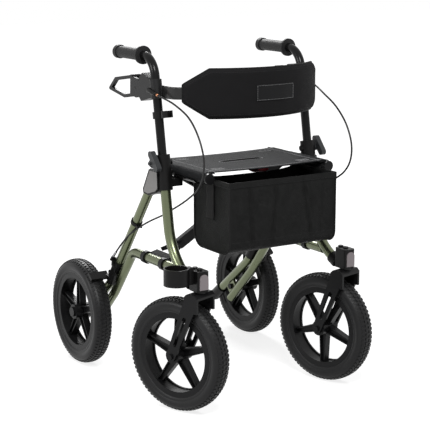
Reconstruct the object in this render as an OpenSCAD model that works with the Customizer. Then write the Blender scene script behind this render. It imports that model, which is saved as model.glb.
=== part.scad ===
// All terrain rollator: two tubular side frames joined by a folding cross, four large wheels
// with block tread, loop brakes, height-adjustable handles, a sling seat, a bag and a back band.
// The walking direction is -Y, the user's left is +X and the floor is Z = 0.

/* [Overall] */
// Outer diameter of the four wheels over the tread blocks
wheel_d = 302; // [296:1:312]
// Distance from the rear axle forward to the caster swivel axis
wheelbase = 565; // [555:1:585]
// Distance between the centre planes of the two side frames
frame_w = 464; // [456:1:490]
// Height of the grip axis above the floor
grip_h = 905; // [895:1:925]
// Backward lean of the handle tubes, in degrees
handle_lean = 9.5; // [9:0.5:10]
// Turn of the left caster as it stands, in degrees
left_turn = 15; // [0:1:20]
// Turn of the right caster as it stands, in degrees
right_turn = 21; // [0:1:22]

/* [Wheels] */
// Width of a tyre
tyre_w = 54; // [50:1:56]
// Diameter where the tyre's bead sits on the rim
bead_d = 226; // [218:1:232]
// Diameter of the open window inside the rim
window_d = 202; // [196:1:206]
// Height of a tread block above the tyre's casing
block_h = 5; // [4:0.5:6]
// Number of tread blocks around a tyre
block_count = 36; // [24:1:44]
// Diameter of a hub barrel
hub_d = 42; // [38:1:46]
// Diameter of the wheel axles
axle_d = 12; // [10:1:14]
// Number of spokes in a rim
spoke_count = 5; // [4:1:7]
// Width of a spoke at the hub
spoke_w = 24; // [20:1:26]
// Depth of a spoke along the axle
spoke_t = 20; // [16:1:26]
// Distance from a side frame out to the centre plane of its rear wheel
wheel_offset = 54; // [52:1:60]
// Diameter of the rear hub caps
hub_cap_d = 28; // [24:1:32]

/* [Frame tubes] */
// Outer diameter of the front tubes
front_tube_d = 28; // [27:0.5:30]
// Outer diameter of the lower tubes and rear legs
leg_d = 26; // [24:0.5:27]
// Outer diameter of the handle tubes
handle_d = 23.8; // [22:0.1:24.4]
// Wall of the lower tubes, rear legs and handle tubes
tube_wall = 2; // [1.5:0.5:3]
// Bend radius of the front tubes
front_bend_r = 160; // [140:5:170]
// Height of the level run of the lower tubes
lower_h = 362; // [358:1:366]
// Bend radius of a handle tube below its grip
handle_bend_r = 60; // [54:1:62]

/* [Housings] */
// Height of the top rim of the joint housings
collar_top_h = 654; // [648:1:660]
// Length of a joint housing's collar, measured upright
collar_l = 92; // [86:1:98]
// Outer diameter of a joint housing's collar
collar_d = 40; // [38:1:42]
// Width of a caster head
head_w = 34; // [32:1:38]
// Height of a caster head
head_h = 54; // [50:1:58]

/* [Folding cross and seat] */
// Distance between the axes of the seat rails
rail_w = 374; // [368:1:380]
// Distance from the top rims of the joint housings down to the seat rail axes
rail_drop = 45; // [40:1:48]
// Outer diameter of the seat rails
rail_d = 22; // [20:0.5:22]
// Depth of a cross bar across its length
bar_h = 24; // [20:1:28]
// Thickness of a cross bar along the rails
bar_t = 14; // [12:1:15]
// Thickness of the seat fabric
sling_t = 3; // [2:0.5:4]

/* [Brakes and handles] */
// Length of a grip
grip_l = 139; // [130:1:142]
// Diameter of a grip
grip_d = 32; // [30:1:34]
// Length of a brake lever loop behind its pivot
lever_l = 177; // [165:1:185]
// Diameter of the brake cable sheath
cable_d = 5; // [4:0.5:5]

/* [Bag and back band] */
// Width of the bag
bag_w = 334; // [320:1:336]
// Depth of the bag from front to back
bag_depth = 174; // [165:1:176]
// Height of the bag
bag_h = 189; // [180:1:194]
// Height of the back band's pad
band_h = 126; // [118:1:134]
// Thickness of the back band's pad at its crown
band_t = 18; // [14:1:20]

/* [Cane holder] */
// Inner diameter of the cane cup
cup_bore = 58; // [50:1:60]
// Height of the cane cup
cup_h = 44; // [40:1:50]
// Inner diameter of the upper cane clip
clip_bore = 22; // [19:0.5:24]

/* [Hidden] */
$fn = 64;
// Clearances: seated pieces, running fits, moving neighbours and the overrun of every cut
seat_gap = 0.05;
run_gap = 0.08;
move_gap = 0.4;
over = 1;
band_l = 1;
band_rise = 0.06;

// Wheels and the place of the origin, in the middle of the footprint
wheel_r = wheel_d / 2;
trail = 66;
front_reach = wheelbase + max([
    for (turn = [left_turn, right_turn]) (wheel_r - trail) * cos(turn) + tyre_w / 2 * sin(turn)
]);
rear_y = (front_reach - wheel_r) / 2;
frame_x = frame_w / 2;
wheel_x = frame_x + wheel_offset;
swivel_y = rear_y - wheelbase;
casing_r = wheel_r - block_h;
block_share = 0.62;
centre_row_share = 0.34;
tread_share = 0.74;
side_row_drop = 6;
crown_t = 5;
tyre_wall = 5;
rim_w = 42;
rim_lip = 3;
rim_lip_w = 5;
rear_hub_w = 52;
spoke_tip_share = 0.6;
rib_w = 3;
spoke_web = 6;
hub_cap_l = 6;
hub_cap_t = 4;

// Side frame points, as distances forward of the rear axle and heights
collar_f = 381;
collar_low_h = collar_top_h - collar_l;
front_bend_h = 387;
front_end_back = 35;
front_end_h = 338.5;
front_tube_top_h = collar_top_h - 6;
lower_front_f = 468;
lower_bend_f = 219;
lower_knee_f = 106;
lower_knee_h = 222;
lower_bend_r = 45;
lower_end_f = -8;
lower_end_h = 112;
leg_top_f = 322;
leg_top_drop = 1;
leg_top_h = collar_low_h - leg_top_drop;
leg_knee_f = 88;
leg_knee_h = 250;
leg_end_f = -62;
leg_end_h = 131;
knee_r = 150;
front_wall = (front_tube_d - handle_d) / 2 - run_gap;
plate_t = 9;
plate_l = 44;
pedal_d = 34;
pedal_l = 62;
pedal_in = 8;
pedal_round = 7;
head_bolt_d = 17;
head_bolt_h = 6;

// Handle, grip and height range
handle_travel = 60;
handle_room = 6;
flange_d = 49;
flange_t = 6;
grip_end_d = 37;
grip_end_l = 14;
grip_close = 4;
flange_gap = 2;

// Joint housing
socket_wall = 4;
cover_rest = 0.5;
wing_t = collar_d + 2 * cover_rest;
socket_l = 18;
cover_t = 3;
cover_back_f = 319;
cover_low_drop = 17;
cover_l = 77;
cover_h = 67;
cover_shares = [
    [0.43, 1], [0.97, 0.98], [1, 0.33], [0.82, 0.18], [0.32, 0], [0.03, 0.03], [0, 0.16], [0.28, 0.7]
];
wing_grow_share = 1.1;
saddle_wall = 4;
saddle_front_f = 490;
saddle_l = 96;
saddle_arm_h = 20;
knob_drop = 20;
knob_h = collar_top_h - knob_drop;
knob_l = 44;
knob_t = 14;
knob_lobe_r = 9;
knob_end_shares = [[0.07, 0.52], [-0.59, -0.23]];
knob_stem_d = 18;
knob_stud_d = 8;
knob_boss_d = 14;
knob_boss_l = 5;
clamp_nut_d = 16;
clamp_nut_l = 4;

// Caster head and fork
fork_gap = 4;
fork_t = 7;
fork_in = tyre_w / 2 + fork_gap;
tyre_room = 3.5;
crown_top = 325;
crown_plate_t = 14;
crown_low = 277;
crown_front = 20;
crown_back = 22;
crown_edge = 8;
leg_top_r = 21;
leg_foot_r = 14;
slot_w = 11;
slot_shares = [0.3, 0.78];
stem_d = 16;
stem_l = 44;
neck_d = 30;
neck_h = 4;
head_front = 21;
head_back = 27;
head_round = 7;
head_sleeve = 4;
head_sleeve_l = 24;
head_low = crown_top + neck_h;
cap_d = 14;
cap_h = 4;
cap_pitch = 22;
reflector_w = 25;
reflector_h = 40;
reflector_t = 3;
axle_head_d = 16;
axle_head_h = 5;

// Folding cross
cross_f = 341;
ring_pitch = 96;
ring_wall = 4;
ring_w = 16;
rail_ring_wall = 2.5;
rail_ring_w = 24;
bar_gap = 3;
yoke_l = 92;
yoke_t = 12;
yoke_arm = 16;
sleeve_l = 120;
sleeve_wall = 2;
pin_d = 10;
pin_head_d = 20;
pin_head_h = 5;
rail_x = rail_w / 2;
rail_h = collar_top_h - rail_drop;
rail_front_f = 535;
rail_back_f = 262;
rail_cap_d = 28;
rail_cap_l = 8;
rail_cap_in = 18;
bar_run = frame_x + rail_x;
bar_angle = atan2(rail_h - lower_h, bar_run);
bar_l = norm([bar_run, rail_h - lower_h]);

// Seat sling, bag and back band
sling_front_f = 532;
sling_back_f = 280;
sleeve_d = rail_d + 2 * (move_gap + sling_t);
slot_l = 124;
slot_wide = 14;
slot_f = 400;
strap_w = 30;
strap_t = 3;
strap_l = 66;
strap_drop = 20;
strap_f = 512;
bag_back_f = 430;
bag_drop = 4;
bag_top_h = rail_h - bag_drop;
bag_wall = 3;
bag_round = 26;
tab_f = 494;
tab_l = 36;
tab_h = 14;
band_r = 300;
band_front_f = 531;
band_turn = 43;
band_corner_r = 72;
band_mid_h = 817;
strap_h = 30;
pad_end_h = 44;
back_strap_t = 4;
pad_full_l = 162;
pad_end_l = 234;
band_steps = 24;
band_sides = 16;
crown_power_share = 0.7;
edge_power_share = 0.45;

// Brake lever, bracket and lower brake
bracket_low_h = 797;
bracket_top_h = 847;
bracket_t = 30;
bracket_shares = [[-2.6, 1.28], [-1.46, 1.65], [-0.77, 1.08], [-0.77, -0.85], [-1.19, -1.23]];
tongue_r = 14;
tongue_l = 40;
bracket_wall = 4;
tongue_t = 12;
lever_pin_f = 266;
lever_pin_h = 818;
lever_pin_d = 8;
lever_hub_r = 26;
cheek_t = 7;
loop_w = 10;
loop_bar = 9;
barrel_d = 11;
barrel_l = 26;
barrel_out = 4;
clamp_low_h = 268;
clamp_high_h = 318;
clamp_wall = 4;
shoe_angle = 51;
shoe_gap = 3;
shoe_t = 9;
shoe_w = 44;
shoe_l = 24;
arm_t = 7;
ear_t = 6;
pin_cap_t = 2;
arm_pin_f = 131;
arm_pin_h = 260;
arm_pin_d = 8;
arm_hub_r = 9;
ferrule_d = 9;
ferrule_l = 16;
tail_f = 151;
tail_h = 285;
tail_r = 5;
wire_d = 3;
wire_room = 6;
clip_ring_w = 9;
clip_ring_wall = 3;
clip_room = 2.2;
clip_index = 13;

// Cane holder
cup_wall = 4;
cup_low_h = 348;
cup_back = 18;
cup_gap = 10;
cane_clip_rise = 101;
cane_clip_h = collar_top_h + cane_clip_rise;
cane_clip_l = 18;
cane_clip_wall = 4;
cane_clip_reach = 44;
cane_gap_share = 0.62;

// Route of a brake cable: distance out from the middle plane, forward of the rear axle, height
cable_route = [
    [236, 374, 808], [234, 396, 803], [231, 452, 791], [230, 512, 764], [230, 558, 722], [230, 583, 672],
    [230, 580, 626], [228, 553, 589], [223, 502, 558], [216, 450, 533], [212, 402, 511], [215, 352, 486],
    [224, 300, 462], [233, 254, 437], [246, 222, 412], [251, 188, 382], [254, 162, 356], [255, 142, 336]
];
cable_sides = 10;
cable_steps = 2;

function fwd(f) = rear_y - f;
function pt(f, h) = [fwd(f), h];
function handle_f(h) = collar_f - (h - collar_top_h) * tan(handle_lean);
function handle_pt(h) = pt(handle_f(h), h);
function dir(p, q) = (q - p) / norm(q - p);
function along(p, q, l) = p + dir(p, q) * l;
function polar(r, a) = r * [cos(a), sin(a)];
function bend_centre(p, q, r, radius) =
    let (u = dir(p, q), v = dir(q, r), hand = sign(cross(u, v)))
    q - u * radius * tan(acos(u * v) / 2) + radius * hand * [-u[1], u[0]];
function last(v) = v[len(v) - 1];
function longer(path, e) = [
    for (i = [0 : len(path) - 1])
        i == 0 ? along(path[0], path[1], -e)
        : i == len(path) - 1 ? along(path[i], path[i - 1], -e)
        : path[i]
];

// Paths of the tubes in the side plane, as Y and Z
front_path = [
    handle_pt(front_tube_top_h), handle_pt(front_bend_h), pt(wheelbase - front_end_back, front_end_h)
];
lower_path = [
    pt(lower_front_f, lower_h), pt(lower_bend_f, lower_h),
    pt(lower_knee_f, lower_knee_h), pt(lower_end_f, lower_end_h)
];
leg_path = [pt(leg_top_f, leg_top_h), pt(leg_knee_f, leg_knee_h), pt(leg_end_f, leg_end_h)];
grip_start = handle_bend_r * tan((90 - handle_lean) / 2) + flange_gap;
grip_back = grip_start + grip_l - grip_close;
front_bend_top_h = front_bend_h + cut_backs(front_path, [front_bend_r])[1] * cos(handle_lean);
handle_low_h = front_bend_top_h + handle_travel + handle_room;
handle_path = [handle_pt(handle_low_h), handle_pt(grip_h), pt(handle_f(grip_h) - grip_back, grip_h)];
axle_pt = pt(0, wheel_r);
lever_pin = pt(lever_pin_f, lever_pin_h);
arm_pin = pt(arm_pin_f, arm_pin_h);
shoe_pt = axle_pt + polar(wheel_r + shoe_gap, 180 - shoe_angle);

// Places a piece modelled for the user's left on the chosen side
module on_side(s) {
    if (s < 0) mirror([1, 0, 0]) children();
    else children();
}

// Turns a sketch of Y and Z so that it is extruded along +X from x
module side_plane(x) {
    translate([x, 0, 0]) rotate([90, 0, 90]) children();
}

// Side sketch of given thickness, centred on the plane x
module slab(x, t) {
    side_plane(x - t / 2) linear_extrude(t) children();
}

// Straight round bar between two points of a sketch
module rod(a, b, d) {
    translate(a) rotate([0, 90, atan2(b[1] - a[1], b[0] - a[0])]) cylinder(d = d, h = norm(b - a));
}

// Turns a bend's section around the corner q of a path from p to r
module bend(p, q, r, radius) {
    u = dir(p, q);
    turn = acos(u * dir(q, r));
    hand = sign(cross(u, dir(q, r)));
    from = atan2(-hand * u[0], hand * u[1]);
    translate(bend_centre(p, q, r, radius)) rotate(hand > 0 ? from : from - turn)
        rotate_extrude(angle = turn) translate([radius, 0]) children();
}

// Distance from each corner of a path to where its bend starts
function cut_backs(path, bends) = [
    for (i = [0 : len(path) - 1])
        i == 0 || i == len(path) - 1 ? 0
        : bends[i - 1] * tan(acos(dir(path[i - 1], path[i]) * dir(path[i], path[i + 1])) / 2)
];

// Round bar along a path with a bend radius for each inner corner; a thin band over each end of
// a bend makes the bend and its straight runs one solid
module bent_rod(path, bends, d) {
    cuts = cut_backs(path, bends);
    for (i = [0 : len(path) - 2]) {
        u = dir(path[i], path[i + 1]);
        a = path[i] + u * cuts[i];
        b = path[i + 1] - u * cuts[i + 1];
        rod(a, b, d);
        if (i > 0) rod(a - u * band_l, a + u * band_l, d + 2 * band_rise);
        if (i < len(path) - 2) rod(b - u * band_l, b + u * band_l, d + 2 * band_rise);
    }
    for (i = [1 : len(path) - 2])
        bend(path[i - 1], path[i], path[i + 1], bends[i - 1]) circle(d = d);
}

module bent_tube(path, bends, d, wall) {
    difference() {
        bent_rod(path, bends, d);
        bent_rod(longer(path, over), bends, d - 2 * wall);
    }
}

// Flat link between two round ends
module link(a, ra, b, rb) {
    lean = acos((ra - rb) / norm(b - a));
    ang = atan2(b[1] - a[1], b[0] - a[0]);
    translate(a) circle(r = ra);
    translate(b) circle(r = rb);
    polygon([
        a + polar(ra, ang + lean), b + polar(rb, ang + lean),
        b + polar(rb, ang - lean), a + polar(ra, ang - lean)
    ]);
}

module rounded(size, r) {
    for (x = [r, size[0] - r], y = [r, size[1] - r])
        translate([x, y]) circle(r = r);
    translate([r, 0]) square([size[0] - 2 * r, size[1]]);
    translate([0, r]) square([size[0], size[1] - 2 * r]);
}

// Round bar along X through a point of the side plane
module cross_bar_x(p, x0, x1, d) {
    side_plane(x0) translate(p) cylinder(d = d, h = x1 - x0);
}

// Wheel pieces, centred on the origin with the axle along X
module toothed(r_out, r_root) {
    pitch = 360 / block_count;
    polygon([
        for (i = [0 : block_count - 1], k = [0 : 3])
            polar(k < 2 ? r_out : r_root, pitch * (i + [0, block_share, block_share, 1][k]))
    ]);
}

// Pneumatic tyre: two curved side walls and three rows of tread blocks across the crown
module tyre() {
    core_r = tyre_w / 2;
    centre_w = tyre_w * centre_row_share;
    half_w = tyre_w * tread_share / 2;
    side_w = half_w - centre_w / 2;
    crown_r = casing_r - core_r + sqrt(core_r * core_r - half_w * half_w) - crown_t;
    rotate([0, 90, 0]) {
        for (s = [-1, 1])
            rotate_extrude() intersection() {
                difference() {
                    translate([casing_r - core_r, 0]) circle(r = core_r);
                    translate([casing_r - core_r, 0]) circle(r = core_r - tyre_wall);
                }
                translate([bead_d / 2, s > 0 ? half_w - over : over - half_w - core_r])
                    square([wheel_r, core_r]);
            }
        difference() {
            union() {
                translate([0, 0, -centre_w / 2]) linear_extrude(centre_w) toothed(wheel_r, casing_r);
                for (s = [-1, 1])
                    rotate(90 / block_count * (2 + s))
                        translate([0, 0, s > 0 ? centre_w / 2 - over : -half_w])
                            linear_extrude(side_w + over)
                                toothed(wheel_r - side_row_drop, casing_r - side_row_drop);
            }
            cylinder(r = crown_r, h = 2 * tyre_w, center = true);
        }
    }
}

// Rim with its hub; a spoke points straight down, or straight up after half a turn
module rim(hub_w, half_turn) {
    bead_r = bead_d / 2 - seat_gap;
    rotate([0, 90, 0]) difference() {
        union() {
            rotate_extrude() {
                translate([window_d / 2, -rim_w / 2]) square([bead_r - window_d / 2, rim_w]);
                for (s = [-1, 1])
                    translate([window_d / 2 - rim_lip, s * (rim_w - rim_lip_w) / 2 - rim_lip_w / 2])
                        square([rim_lip + over, rim_lip_w]);
            }
            cylinder(d = hub_d, h = hub_w, center = true);
            for (i = [0 : spoke_count - 1])
                rotate(half_turn * 180 + i * 360 / spoke_count) spoke();
        }
        cylinder(d = axle_d + 2 * run_gap, h = hub_w + 2 * over, center = true);
    }
}

module spoke() {
    inner_r = hub_d / 2 - rib_w;
    a = [inner_r, 0];
    b = [window_d / 2 - rim_lip, 0];
    tip_w = spoke_w * spoke_tip_share;
    linear_extrude(spoke_web, center = true) spoke_outline(a, b, spoke_w, tip_w);
    linear_extrude(spoke_t, center = true) difference() {
        spoke_outline(a, b, spoke_w, tip_w);
        spoke_outline(a - [over, 0], b + [over, 0], spoke_w - 2 * rib_w, tip_w - 2 * rib_w);
    }
}

module spoke_outline(a, b, wa, wb) {
    reach = [rim_lip + over, 0];
    polygon([a + [0, wa / 2], b + reach + [0, wb / 2], b + reach - [0, wb / 2], a - [0, wa / 2]]);
}

// Caster pieces, with the swivel axis on the origin's vertical
module at_swivel(s) {
    translate([s * frame_x, swivel_y, 0]) children();
}

module in_caster(s) {
    at_swivel(s) rotate(s > 0 ? left_turn : right_turn) children();
}

module front_tube(s) {
    color("darkolivegreen") on_side(s) side_plane(frame_x)
        bent_tube(front_path, [front_bend_r], front_tube_d, front_wall);
}

// Its front end is cut to lie against the bend of the front tube
module lower_tube(s) {
    centre = bend_centre(front_path[0], front_path[1], front_path[2], front_bend_r);
    cope_a = asin((lower_h - centre[1]) / front_bend_r);
    cope = centre + polar(front_bend_r, cope_a);
    cope_u = polar(1, cope_a + 90);
    color("darkolivegreen") on_side(s) side_plane(frame_x) difference() {
        bent_tube(lower_path, [lower_bend_r, knee_r], leg_d, tube_wall);
        rod(cope - cope_u * 3 * leg_d, cope + cope_u * 3 * leg_d, front_tube_d + 2 * seat_gap);
    }
}

module rear_leg(s) {
    leg_dir = dir(leg_path[1], leg_path[2]);
    leg_foot = leg_path[1] + leg_dir * ((axle_pt - leg_path[1]) * leg_dir);
    u = leg_dir * plate_l / 2;
    low_dir = dir(lower_path[2], lower_path[3]);
    low_foot = lower_path[2] + low_dir * ((axle_pt - lower_path[2]) * low_dir);
    w = low_dir * plate_l / 2;
    color("darkolivegreen") on_side(s) difference() {
        union() {
            side_plane(frame_x) bent_tube(leg_path, [knee_r], leg_d, tube_wall);
            difference() {
                slab(frame_x, plate_t) polygon([leg_foot - u, leg_foot + u, low_foot + w, low_foot - w]);
                side_plane(frame_x) {
                    bent_rod(leg_path, [knee_r], leg_d - tube_wall);
                    bent_rod(longer(lower_path, over), [lower_bend_r, knee_r], leg_d + 2 * seat_gap);
                }
            }
        }
        cross_bar_x(axle_pt, frame_x - plate_t, frame_x + plate_t, axle_d + 2 * seat_gap);
    }
}

module tip_pedal(s) {
    end = last(leg_path);
    u = dir(leg_path[1], leg_path[2]);
    mouth = end - u * pedal_in;
    color("black") on_side(s) side_plane(frame_x) difference() {
        translate(mouth) rotate([0, 90, atan2(u[1], u[0])]) rotate_extrude() {
            square([pedal_d / 2, pedal_l - pedal_round]);
            square([pedal_d / 2 - pedal_round, pedal_l]);
            translate([pedal_d / 2 - pedal_round, pedal_l - pedal_round]) circle(r = pedal_round);
        }
        rod(mouth - u * over, end + u * seat_gap, leg_d + 2 * seat_gap);
    }
}

module rear_axle(s) {
    inner = frame_x - plate_t / 2;
    color("dimgray") on_side(s) {
        cross_bar_x(axle_pt, inner - over, wheel_x + rear_hub_w / 2 - over, axle_d);
        cross_bar_x(axle_pt, inner - head_bolt_h, inner - seat_gap, head_bolt_d);
        cross_bar_x(axle_pt, frame_x + plate_t / 2 + seat_gap,
            wheel_x - rear_hub_w / 2 - move_gap, head_bolt_d);
    }
}

module rear_tyre(s) {
    color("#2c2c2c") translate([s * wheel_x, rear_y, wheel_r]) tyre();
}

module rear_rim(s) {
    face = wheel_x + rear_hub_w / 2;
    color("#1c1c1c") {
        translate([s * wheel_x, rear_y, wheel_r]) rim(rear_hub_w, 1);
        on_side(s) difference() {
            cross_bar_x(axle_pt, face - over, face + hub_cap_l, hub_cap_d);
            cross_bar_x(axle_pt, face - 2 * over, face + hub_cap_l - hub_cap_t, axle_d + 2 * run_gap);
        }
    }
}

module caster_head(s) {
    u = dir(front_path[1], front_path[2]);
    end = last(front_path);
    color("#202020") difference() {
        union() {
            at_swivel(s) {
                translate([-head_w / 2, -head_front, head_low])
                    linear_extrude(head_h) rounded([head_w, head_front + head_back], head_round);
                for (y = [0, cap_pitch])
                    translate([0, y, head_low]) cylinder(d = cap_d, h = head_h + cap_h);
            }
            on_side(s) side_plane(frame_x)
                rod(end - u * head_sleeve_l, end + u * head_sleeve, front_tube_d + 2 * head_sleeve);
        }
        at_swivel(s) translate([0, 0, head_low - over])
            cylinder(d = stem_d + 2 * run_gap, h = stem_l + move_gap + over);
        at_swivel(s) translate([0, 0, head_low - head_h])
            cylinder(r = fork_sweep() + move_gap, h = head_h);
        on_side(s) side_plane(frame_x) {
            rod(end - u * (head_sleeve_l + over), end + u * seat_gap, front_tube_d + 2 * seat_gap);
            bent_rod(longer(lower_path, over), [lower_bend_r, knee_r], leg_d + 2 * seat_gap);
        }
    }
}

module reflector(s) {
    base_h = head_low + (head_h - reflector_h) / 2;
    straight = reflector_h - reflector_w / 2;
    color("rosybrown") at_swivel(s) translate([0, -head_front - seat_gap, base_h]) rotate([90, 0, 0])
        linear_extrude(reflector_t) {
            translate([-reflector_w / 2, 0]) square([reflector_w, straight]);
            translate([0, straight]) circle(d = reflector_w);
        }
}

module caster_fork(s) {
    top = [crown_back - leg_top_r, crown_top - leg_top_r];
    foot = [trail, wheel_r];
    color("#181818") in_caster(s) difference() {
        union() {
            side_plane(-fork_in - fork_t / 2) linear_extrude(2 * fork_in + fork_t)
                crown_outline(crown_top - crown_plate_t);
            for (side = [-1, 1])
                slab(side * (fork_in + fork_t / 2), fork_t) difference() {
                    union() {
                        link(top, leg_top_r, foot, leg_foot_r);
                        crown_outline(crown_low);
                    }
                    link(top + (foot - top) * slot_shares[0], slot_w / 2,
                        top + (foot - top) * slot_shares[1], slot_w / 2 - over);
                }
            translate([0, 0, crown_top - over]) cylinder(d = stem_d, h = neck_h + stem_l + over);
            translate([0, 0, crown_top - over]) cylinder(d = neck_d, h = neck_h - move_gap + over);
        }
        side_plane(-fork_in) translate(foot) cylinder(r = wheel_r + tyre_room, h = 2 * fork_in);
        side_plane(-fork_in - fork_t - over) translate(foot)
            cylinder(d = axle_d + 2 * seat_gap, h = 2 * (fork_in + fork_t + over));
    }
}

// Reach of the fork's crown from the swivel axis, which the head leaves free below it
function fork_sweep() = norm([fork_in + fork_t, max(crown_front, crown_back)]);

// Side of the fork's crown, from its top down to low
module crown_outline(low) {
    polygon([
        [-crown_front, low], [-crown_front, crown_top - crown_edge],
        [-crown_front + crown_edge, crown_top], [crown_back - crown_edge, crown_top],
        [crown_back, crown_top - crown_edge], [crown_back, max(low, crown_top - leg_top_r)],
        [-crown_front + leg_foot_r, low]
    ]);
}

module caster_axle(s) {
    reach = fork_in + fork_t + seat_gap;
    color("dimgray") in_caster(s) translate([0, trail, wheel_r]) rotate([0, 90, 0]) {
        cylinder(d = axle_d, h = 2 * reach, center = true);
        for (side = [-1, 1])
            translate([0, 0, side * (reach + axle_head_h / 2)])
                cylinder(d = axle_head_d, h = axle_head_h, center = true);
    }
}

module caster_tyre(s) {
    color("#2c2c2c") in_caster(s) translate([0, trail, wheel_r]) tyre();
}

module caster_rim(s) {
    color("#1c1c1c") in_caster(s) translate([0, trail, wheel_r])
        rim(2 * (fork_in - move_gap), s < 0 ? 1 : 0);
}

module joint_housing(s) {
    low = handle_pt(collar_low_h);
    top = handle_pt(collar_top_h);
    leg_u = dir(leg_path[1], leg_path[0]);
    rail_low = rail_h - sleeve_d / 2 - move_gap;
    knob_pt = handle_pt(knob_h);
    color("#202020") on_side(s) difference() {
        union() {
            side_plane(frame_x) rod(low, top, collar_d);
            slab(frame_x, wing_t) cover_outline(wing_grow_share);
            side_plane(frame_x) rod(leg_path[0] - leg_u * socket_l, leg_path[0] + leg_u * socket_wall,
                leg_d + 2 * socket_wall);
            saddle(rail_low);
            cross_bar_x(knob_pt, frame_x - collar_d / 2 - clamp_nut_l, frame_x, clamp_nut_d);
        }
        side_plane(frame_x) {
            rod(low - dir(low, top) * collar_d, handle_pt(front_tube_top_h + seat_gap),
                front_tube_d + 2 * seat_gap);
            rod(low, top + dir(low, top) * over, handle_d + 2 * run_gap);
            rod(leg_path[0] - leg_u * (socket_l + leg_d), leg_path[0] + leg_u * seat_gap,
                leg_d + 2 * seat_gap);
        }
        cross_bar_x(knob_pt, frame_x + handle_d / 2, frame_x + collar_d, knob_stud_d + 2 * run_gap);
        translate([rail_x, fwd(sling_back_f), rail_h]) rotate([90, 0, 0])
            cylinder(d = sleeve_d + 2 * move_gap, h = sling_front_f - sling_back_f);
    }
}

// Outline of the cover, grown about its middle for the web between the collar and the rear leg
module cover_outline(grow) {
    low_h = collar_low_h - cover_low_drop;
    polygon([
        for (p = cover_shares)
            let (q = [for (c = p) 0.5 + (c - 0.5) * grow])
            pt(cover_back_f + cover_l * q[0], low_h + cover_h * q[1])
    ]);
}

// Trough under the seat rail and its arm from the collar
module saddle(rail_low) {
    d = sleeve_d + 2 * (move_gap + saddle_wall);
    back_f = saddle_front_f - saddle_l;
    intersection() {
        translate([rail_x, fwd(back_f), rail_h]) rotate([90, 0, 0]) cylinder(d = d, h = saddle_l);
        translate([rail_x - d / 2, fwd(saddle_front_f), rail_h - d]) cube([d, saddle_l, d - d / 4]);
    }
    translate([rail_x, fwd(handle_f(rail_h) + collar_d / 2), rail_low - saddle_wall / 2 - saddle_arm_h])
        cube([frame_x - rail_x, collar_d, saddle_arm_h]);
}

module housing_cover(s) {
    x = frame_x + wing_t / 2 + seat_gap + cover_t / 2;
    color("silver") on_side(s) slab(x, cover_t) cover_outline(1);
}

module clamp_knob(s) {
    p = handle_pt(knob_h);
    x = frame_x + collar_d / 2 + move_gap;
    wing = frame_x + wing_t / 2 + seat_gap + cover_t + move_gap;
    ends = [for (e = knob_end_shares) p + knob_l * e];
    color("#303030") on_side(s) {
        side_plane(wing) linear_extrude(knob_t) {
            link(ends[0], knob_lobe_r, ends[1], knob_lobe_r);
            translate(p) circle(d = knob_stem_d);
        }
        cross_bar_x(p, x, wing + knob_t, knob_stem_d - knob_boss_l);
        cross_bar_x(p, x, wing + knob_t + knob_boss_l, knob_boss_d - knob_boss_l);
        cross_bar_x(p, frame_x + front_tube_d / 2 + move_gap, x + over, knob_stud_d);
    }
}

module handle_tube(s) {
    color("#151515") on_side(s) side_plane(frame_x)
        bent_tube(handle_path, [handle_bend_r], handle_d, tube_wall);
}

module handle_grip(s) {
    start = pt(handle_f(grip_h) - grip_start, grip_h);
    color("#303030") on_side(s) translate([frame_x, start[0], start[1]]) rotate([-90, 0, 0]) difference() {
        union() {
            cylinder(d = flange_d, h = flange_t);
            cylinder(d = grip_d, h = grip_l);
            translate([0, 0, grip_l - grip_end_l]) cylinder(d = grip_end_d, h = grip_end_l);
        }
        translate([0, 0, -over]) cylinder(d = handle_d + 2 * seat_gap, h = grip_l - grip_close + over);
    }
}

module brake_bracket(s) {
    low = handle_pt(bracket_low_h);
    top = handle_pt(bracket_top_h);
    barrel = cable_start();
    out = cable_dir();
    pin_half = tongue_t / 2 + cheek_t;
    u = dir(low, top) * barrel_d;
    w = dir(low, top) * bracket_wall;
    color("#202020") on_side(s) difference() {
        union() {
            side_plane(frame_x) rod(low, top, handle_d + 2 * bracket_wall);
            slab(frame_x, bracket_t) difference() {
                polygon(concat([low + w, top - w], [for (p = bracket_shares) lever_pin + lever_hub_r * p]));
                translate(lever_pin) circle(r = lever_hub_r + 2 * move_gap);
            }
            slab(frame_x, tongue_t) link(lever_pin, tongue_r, lever_pin - [tongue_l, 0], tongue_r);
            cross_bar_x(lever_pin, frame_x - pin_half, frame_x + pin_half, lever_pin_d);
            side_plane(frame_x + barrel_out)
                rod(barrel - out * barrel_l, barrel - out * move_gap, barrel_d);
        }
        side_plane(frame_x) rod(low - u, top + u, handle_d + 2 * seat_gap);
    }
}

function cable_start() = pt(cable_route[0][1], cable_route[0][2]);
function cable_dir() = dir(cable_start(), pt(cable_route[1][1], cable_route[1][2]));

module brake_lever(s) {
    width = tongue_t + 2 * (move_gap + cheek_t);
    pts = [for (p = loop_shares) lever_pin + lever_l * p];
    color("#181818") on_side(s) difference() {
        union() {
            slab(frame_x, loop_w)
                for (i = [0 : len(loop_shares) - 2])
                    link(pts[i], loop_bar / 2, pts[i + 1], loop_bar / 2);
            slab(frame_x, width) link(pts[0], loop_bar / 2 + over, last(pts), loop_bar / 2 + over);
            for (side = [-1, 1])
                slab(frame_x + side * (width - cheek_t) / 2, cheek_t) {
                    translate(lever_pin) circle(r = lever_hub_r);
                    polygon([
                        lever_pin + [0, lever_hub_r], pts[0], last(pts), lever_pin - [0, lever_hub_r]
                    ]);
                }
        }
        slab(frame_x, tongue_t + 2 * move_gap) translate(lever_pin) circle(r = tongue_r + move_gap);
        cross_bar_x(lever_pin, frame_x - width, frame_x + width, lever_pin_d + 2 * run_gap);
    }
}

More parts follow.
